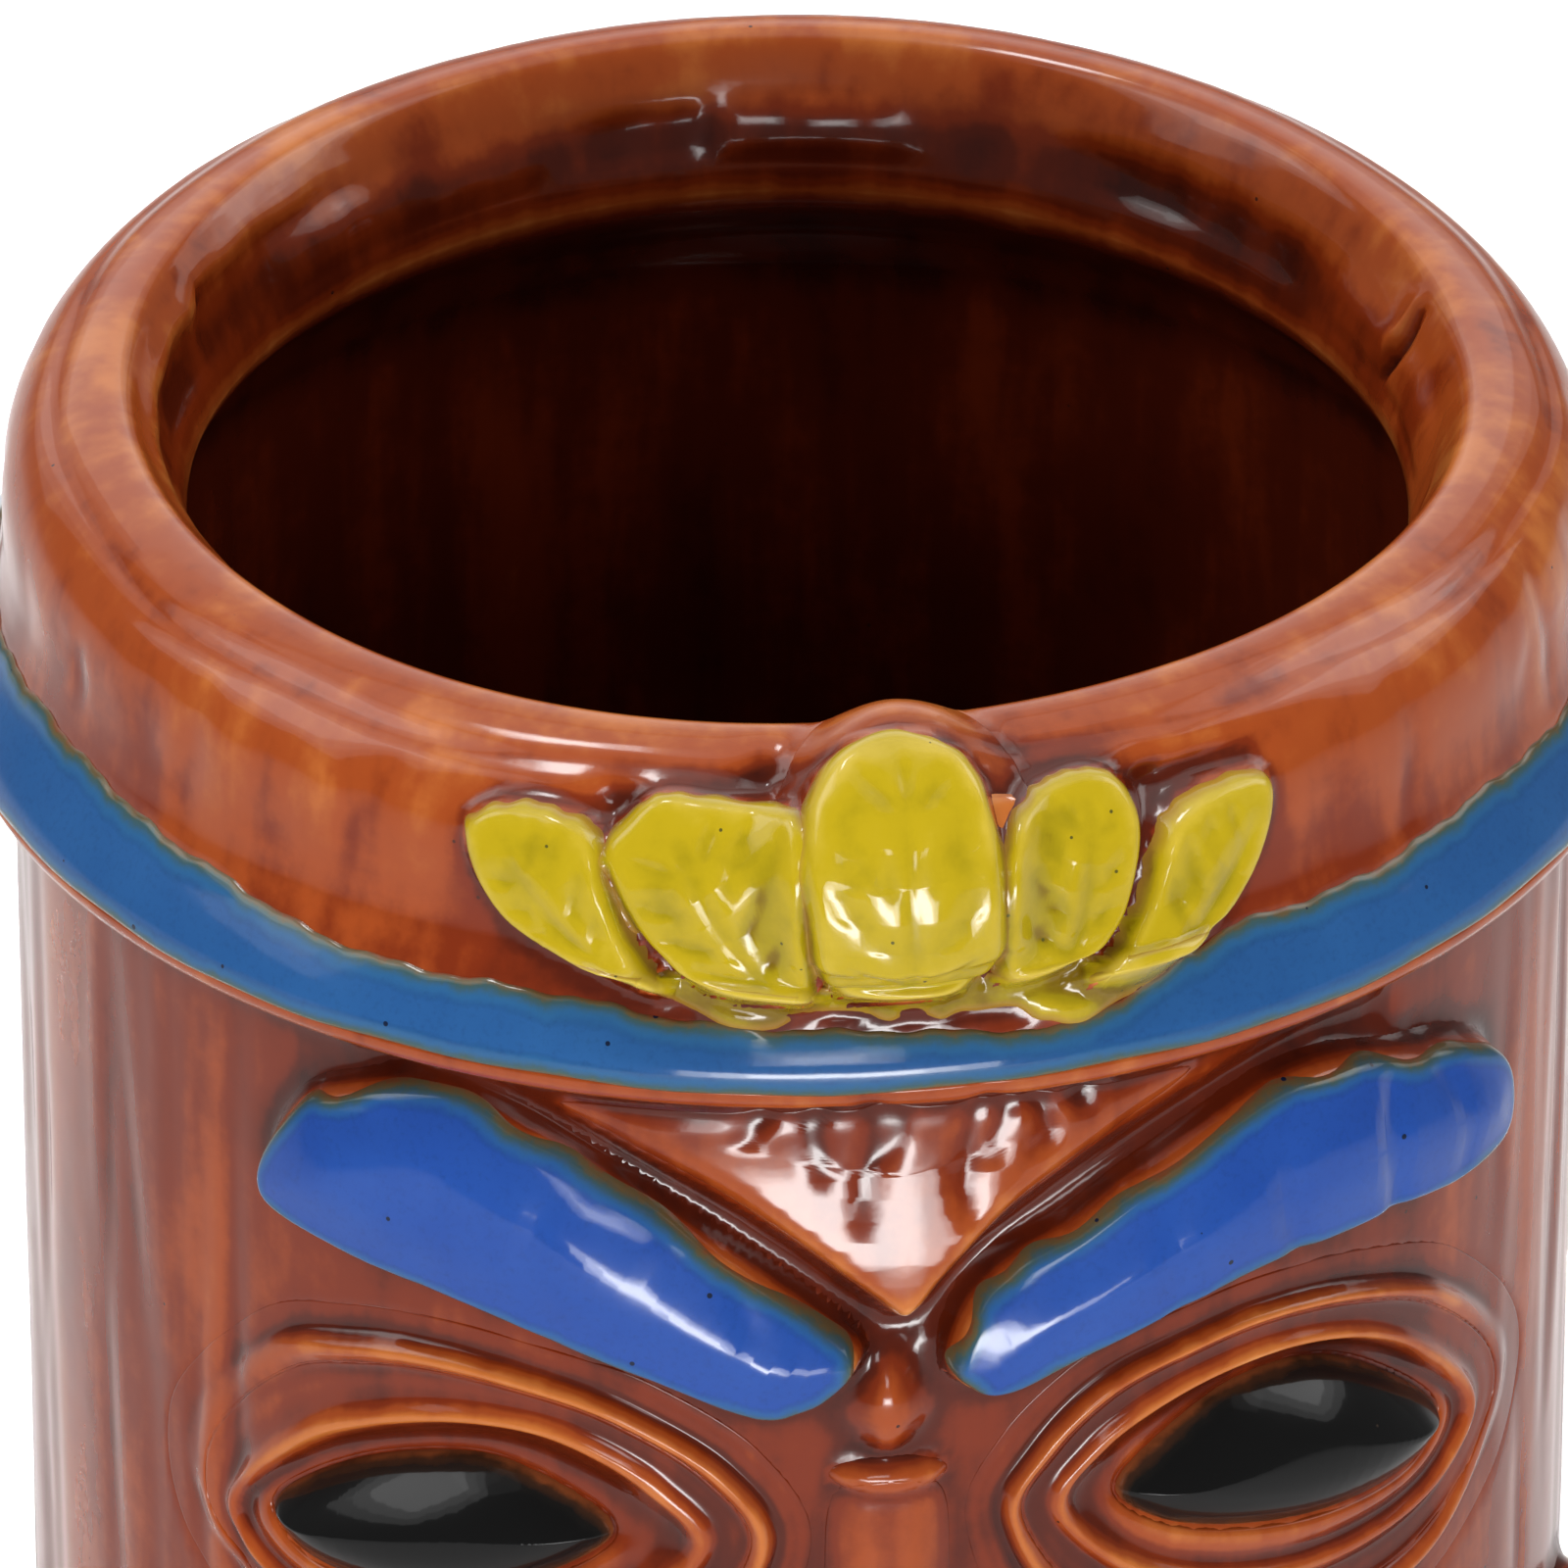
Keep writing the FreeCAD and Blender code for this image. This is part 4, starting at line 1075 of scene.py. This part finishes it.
def green_glaze():
    """Yellow-green over brown, darker in the veins and brown where it pools at the foot of the leaves."""
    material, tree, shader = new_material("green_glaze")
    value = math_node(tree, "MULTIPLY_ADD", attribute(tree, "hollow"), 0.16, 0.40)
    value = varied(tree, value, noise(tree, 330.0, 4.0, 0.6), 0.5, clamp=True)
    rim = math_node(tree, "DIVIDE", attribute(tree, "edge"), 0.45, clamp=True)
    colour = mix(tree, rim, (0.30, 0.15, 0.03), colour_ramp(tree, value, GREEN_STOPS))
    glaze_surface(tree, shader, colour, specks(tree, 520.0, 0.05), (0.08, 0.07, 0.01), 0.06, 0.09)
    return material


def black_glaze():
    """Black glaze, brown where it thins out at its edge."""
    material, tree, shader = new_material("black_glaze")
    value = math_node(tree, "DIVIDE", attribute(tree, "edge"), 0.9)
    value = varied(tree, value, noise(tree, 480.0, 4.0, 0.6), 0.8, clamp=True)
    colour = colour_ramp(tree, value, BLACK_STOPS)
    glaze_surface(tree, shader, colour, specks(tree, 500.0, 0.05), (0.03, 0.02, 0.015), 0.06, 0.05, coat=0.4)
    return material


def bare_clay():
    material, tree, shader = new_material("bare_clay")
    grain = noise(tree, 900.0, 6.0, 0.7)
    tree.links.new(colour_ramp(tree, grain, CLAY_STOPS), shader.inputs["Base Color"])
    tree.links.new(math_node(tree, "MULTIPLY_ADD", grain, 0.25, 0.65), shader.inputs["Roughness"])
    tree.links.new(bump(tree, grain, 0.4, 0.0003), shader.inputs["Normal"])
    return material


# ---------------------------------------------------------------- pieces
def column_spine(outline, share=0.6):
    """An upright spine through the middle of an outline."""
    low, high = outline.min(axis=0), outline.max(axis=0)
    x, y = outline.mean(axis=0)
    half = (high[1] - low[1]) / 2 * share
    return np.array([(x, y - half), (x, y + half)])


def eye_dome(depth):
    """The eye's own roundness, on top of the socket's floor."""
    t = np.clip(depth / DOME_WIDTH, 0, 1)
    return DOME_HEIGHT * (1 - (1 - t) ** 2)


def spread(centre, points, share):
    """Points drawn in towards a centre."""
    return centre + (points - centre) * share


def make_brow(side, brown_of, blue):
    outline = rounded(surface(BROWS[side]), 20)
    spine = surface(BROW_SPINES[side])
    skin("brow_ridge_" + side, grown(outline, 0.8), spine, brown_of("brow_ridge_" + side), rings=30)
    pad = hand_cut(grown(outline, 0.1), 0.16)
    finish = (blue, "blue_glaze", ["brow_" + side])
    skin("brow_" + side, pad, spine, finish, lift=0.22, edge=0.5, press=False)


def make_eye(side, brown_of, black):
    centre, rings = eye_rings(side)
    corners = EYES[side]["eye"]
    tips = spread(centre, surface([corners[0], corners[len(corners) * 3 // 5]]), 0.55)
    skin("eye_" + side, rings[0], np.array([tips[0], centre, tips[1]]),
         (black, "black_glaze", ["eye_" + side]), lift=0.1, edge=0.3, shape=eye_dome)
    lid_edge = rings[1] + LID_EDGE * (rings[2] - rings[1])
    frame_skin("eyelid_" + side, lid_edge, grown(rings[0], 0.1), brown_of("eyelid_" + side), rings=36)
    frame_skin("socket_ridge_" + side, rings[3], lid_edge, brown_of("socket_ridge_" + side), rings=44)


def make_nostril_and_ear(side, brown_of):
    nostril = nostril_outline(side)
    skin("nostril_" + side, nostril, column_spine(nostril, 0.3), brown_of("nostril_" + side), rings=16)
    frame_skin("ear_" + side, ear_outline(side), ear_outline(side, 3.0), brown_of("ear_" + side))
    lobe = lobe_outline(side)
    skin("ear_lobe_" + side, lobe, column_spine(lobe), brown_of("ear_lobe_" + side), rings=16)


def make_forehead_and_nose(brown_of):
    wedge = rounded(surface(WEDGE), 20)
    spine = surface([(-0.6, -28.0), (-0.6, -22.4)])
    skin("forehead_wedge", wedge, spine, brown_of("forehead_wedge"), rings=34)
    bar = oval(surface([(FACE_MID, BRIDGE_Z)])[0], 3.1, 1.1)
    ends = bar[[len(bar) // 2, 0]]
    skin("nose_bridge", bar, spread(bar.mean(axis=0), ends, 0.7), brown_of("nose_bridge"), rings=12)
    nose = nose_outline()
    skin("nose", nose, column_spine(nose, 0.7), brown_of("nose"), rings=24)


def make_mouth(brown_of):
    frame_skin("lips", mouth_outline(), mouth_outline(4.4), brown_of("lips"), rings=24)
    row_names = {1: "upper_teeth", -1: "lower_teeth"}
    for row, k, centre, half in tooth_boxes():
        outline = oval(centre, *half, TOOTH_POWER, 64)
        skin(f"{row_names[row]}_{k + 1}", outline, column_spine(outline), brown_of(row_names[row]), rings=9)


def make_leaves(brown_of, green):
    mound = rounded(surface(MOUND), 16)
    skin("leaf_mound", mound, column_spine(mound, 0.5), brown_of("leaf_mound"), rings=26)
    for name, points in LEAVES.items():
        outline = hand_cut(grown(rounded(surface(points), 20), LEAF_GROWTH), 0.09)
        foot, tip = surface(LEAF_RIBS[name])
        spine = np.array([foot + (tip - foot) * 0.3, foot + (tip - foot) * 0.75])
        skin(name, outline, spine, (green, "green_glaze", [name]), lift=LEAF_LIFTS[name], edge=0.4)
    strip = hand_cut(rounded(surface(STRIP), 14), 0.12)
    finish = (green, "green_glaze", ["leaf_strip"])
    skin("leaf_strip", strip, surface(STRIP_SPINE), finish, lift=0.2, edge=0.4, rings=12, press=False)


def make_headband(brown_of, blue):
    """The glazed band with its hand-painted edges, and the brown roll of clay below it."""
    top_s, top_h = surface(BAND_TOP_EDGE).T
    band_low = float(climb(BAND_LOW[2] + 0.35))
    roll_low = float(climb(ROLL_Z - 0.4))

    def band_bottom(s):
        return band_low + 0.1 * np.sin(s * 0.23) + 0.06 * np.sin(s * 0.71 + 1)

    def band_top(s):
        waves = 0.16 * np.sin(s * 0.36 + 2) + 0.1 * np.sin(s * 1.13) + 0.05 * np.sin(s * 2.9)
        return np.interp(s, top_s, top_h) + waves

    hoop("headband", band_bottom, band_top, (blue, "blue_glaze", ["headband"]), 0.16, 0.5, fade=0.75)
    hoop("headband_roll", lambda s: np.full(s.shape, roll_low), lambda s: np.full(s.shape, band_low + 0.3),
         brown_of("headband_roll"), 0.03, 0.3, rows=10)


def make_pieces():
    """Every piece; the body comes last but one, because the others decide how far it is let down."""
    brown, black = brown_glaze(), black_glaze()

    def brown_of(*nodes):
        return brown, "brown_glaze", nodes

    brow_blue = blue_glaze("blue_glaze_brow", *BROW_BLUES)
    for side in SIDES:
        make_brow(side, brown_of, brow_blue)
        make_eye(side, brown_of, black)
        make_nostril_and_ear(side, brown_of)
    make_forehead_and_nose(brown_of)
    make_mouth(brown_of)
    make_leaves(brown_of, green_glaze())
    make_headband(brown_of, blue_glaze("blue_glaze_band", *BAND_BLUES))
    make_body(brown_of("mug_body"))
    make_foot((bare_clay(), "bare_clay", ["foot_ring"]))


# ---------------------------------------------------------------- studio
def make_floor():
    """A pale floor that sweeps up into a backdrop behind the mug."""
    width, near, bend, tall = 3.0, -2.2, 1.6, 2.2
    profile = [(near, 0.0), (0.0, 0.0)]
    for a in np.linspace(0, math.pi / 2, 16):
        profile.append((0.9 + bend * math.sin(a), bend * (1 - math.cos(a))))
    profile.append((0.9 + bend, tall))
    points = [(x, y, z) for y, z in profile for x in (-width, width)]
    faces = [(2 * i, 2 * i + 1, 2 * i + 3, 2 * i + 2) for i in range(len(profile) - 1)]
    mesh = bpy.data.meshes.new("floor")
    mesh.from_pydata(points, [], faces)
    mesh.polygons.foreach_set("use_smooth", np.ones(len(mesh.polygons), bool))
    material, _, shader = new_material("floor_white")
    shader.inputs["Base Color"].default_value = (0.6, 0.6, 0.6, 1)
    shader.inputs["Roughness"].default_value = 0.9
    mesh.materials.append(material)
    floor = bpy.data.objects.new("floor", mesh)
    bpy.context.scene.collection.objects.link(floor)


def add_light(name, place_m, size, power, aim):
    light = bpy.data.lights.new(name, "AREA")
    light.shape = "RECTANGLE"
    light.size, light.size_y = size
    light.energy = power
    lamp = bpy.data.objects.new(name, light)
    lamp.location = place_m
    lamp.rotation_euler = (Vector(aim) - Vector(place_m)).to_track_quat("-Z", "Y").to_euler()
    bpy.context.scene.collection.objects.link(lamp)
    return lamp


SOFTBOX_PANELS = (0.55, 0.78, 1.0)     # sizes of a softbox's nested panels


def add_softbox(name, place_m, size, power, aim):
    """Nested panels, so that the light fades towards its edges."""
    for share in SOFTBOX_PANELS:
        add_light(f"{name}_{round(100 * share)}", place_m, (size[0] * share, size[1] * share),
                  power / len(SOFTBOX_PANELS), aim)


def make_lights():
    world = bpy.data.worlds.new("studio")
    world.use_nodes = True
    background = world.node_tree.nodes["Background"]
    background.inputs["Color"].default_value = (1, 1, 1, 1)
    background.inputs["Strength"].default_value = 0.16
    bpy.context.scene.world = world
    aim = (0, 0, 0.11)
    add_softbox("softbox_left", (-0.9, 0.05, 0.90), (0.9, 0.9), 8.0, aim)
    add_softbox("softbox_right", (0.9, 0.15, 0.90), (0.9, 0.9), 8.0, aim)
    add_softbox("softbox_low", (-0.06, -1.0, 0.11), (0.70, 0.20), 9.5, aim)
    add_softbox("softbox_front", (-0.08, -1.0, 0.55), (0.34, 0.20), 1.4, aim)
    add_softbox("softbox_above", (-0.28, 0.10, 1.15), (0.30, 0.18), 3.4, aim)
    add_softbox("softbox_top", (0.0, 0.2, 1.1), (1.8, 1.3), 7.5, aim)
    add_softbox("softbox_back", (0.0, 1.0, 0.75), (2.2, 1.0), 8.5, aim)
    backdrop = add_light("backdrop_light", (0.0, 0.24, 0.8), (0.2, 0.24), 1.0, (0, 0.24, 0))
    backdrop.data.spread = math.radians(14)
    bpy.context.scene.view_settings.view_transform = "Standard"


# The photograph's view.
CAMERA_AZIMUTH = -8.0
CAMERA_ELEVATION = 30.5
CAMERA_DISTANCE = 0.9
CAMERA_LENS = 398.9
CAMERA_SENSOR = 36.0
LOOK_LEFT = 0.7
LOOK_DOWN = 23.9


def make_camera():
    a, e = math.radians(CAMERA_AZIMUTH), math.radians(CAMERA_ELEVATION)
    right = Vector((math.cos(a), math.sin(a), 0))
    target = Vector((0, 0, (RIM_TOP - LOOK_DOWN) * MM)) - right * LOOK_LEFT * MM
    back = Vector((math.sin(a) * math.cos(e), -math.cos(a) * math.cos(e), math.sin(e)))
    data = bpy.data.cameras.new("camera")
    data.sensor_width = CAMERA_SENSOR
    data.lens = CAMERA_LENS
    data.clip_start, data.clip_end = 0.05, 20.0
    camera = bpy.data.objects.new("camera", data)
    camera.location = target + back * CAMERA_DISTANCE
    camera.rotation_euler = (-back).to_track_quat("-Z", "Y").to_euler()
    bpy.context.scene.collection.objects.link(camera)
    bpy.context.scene.camera = camera


make_pieces()
make_floor()
make_lights()
make_camera()
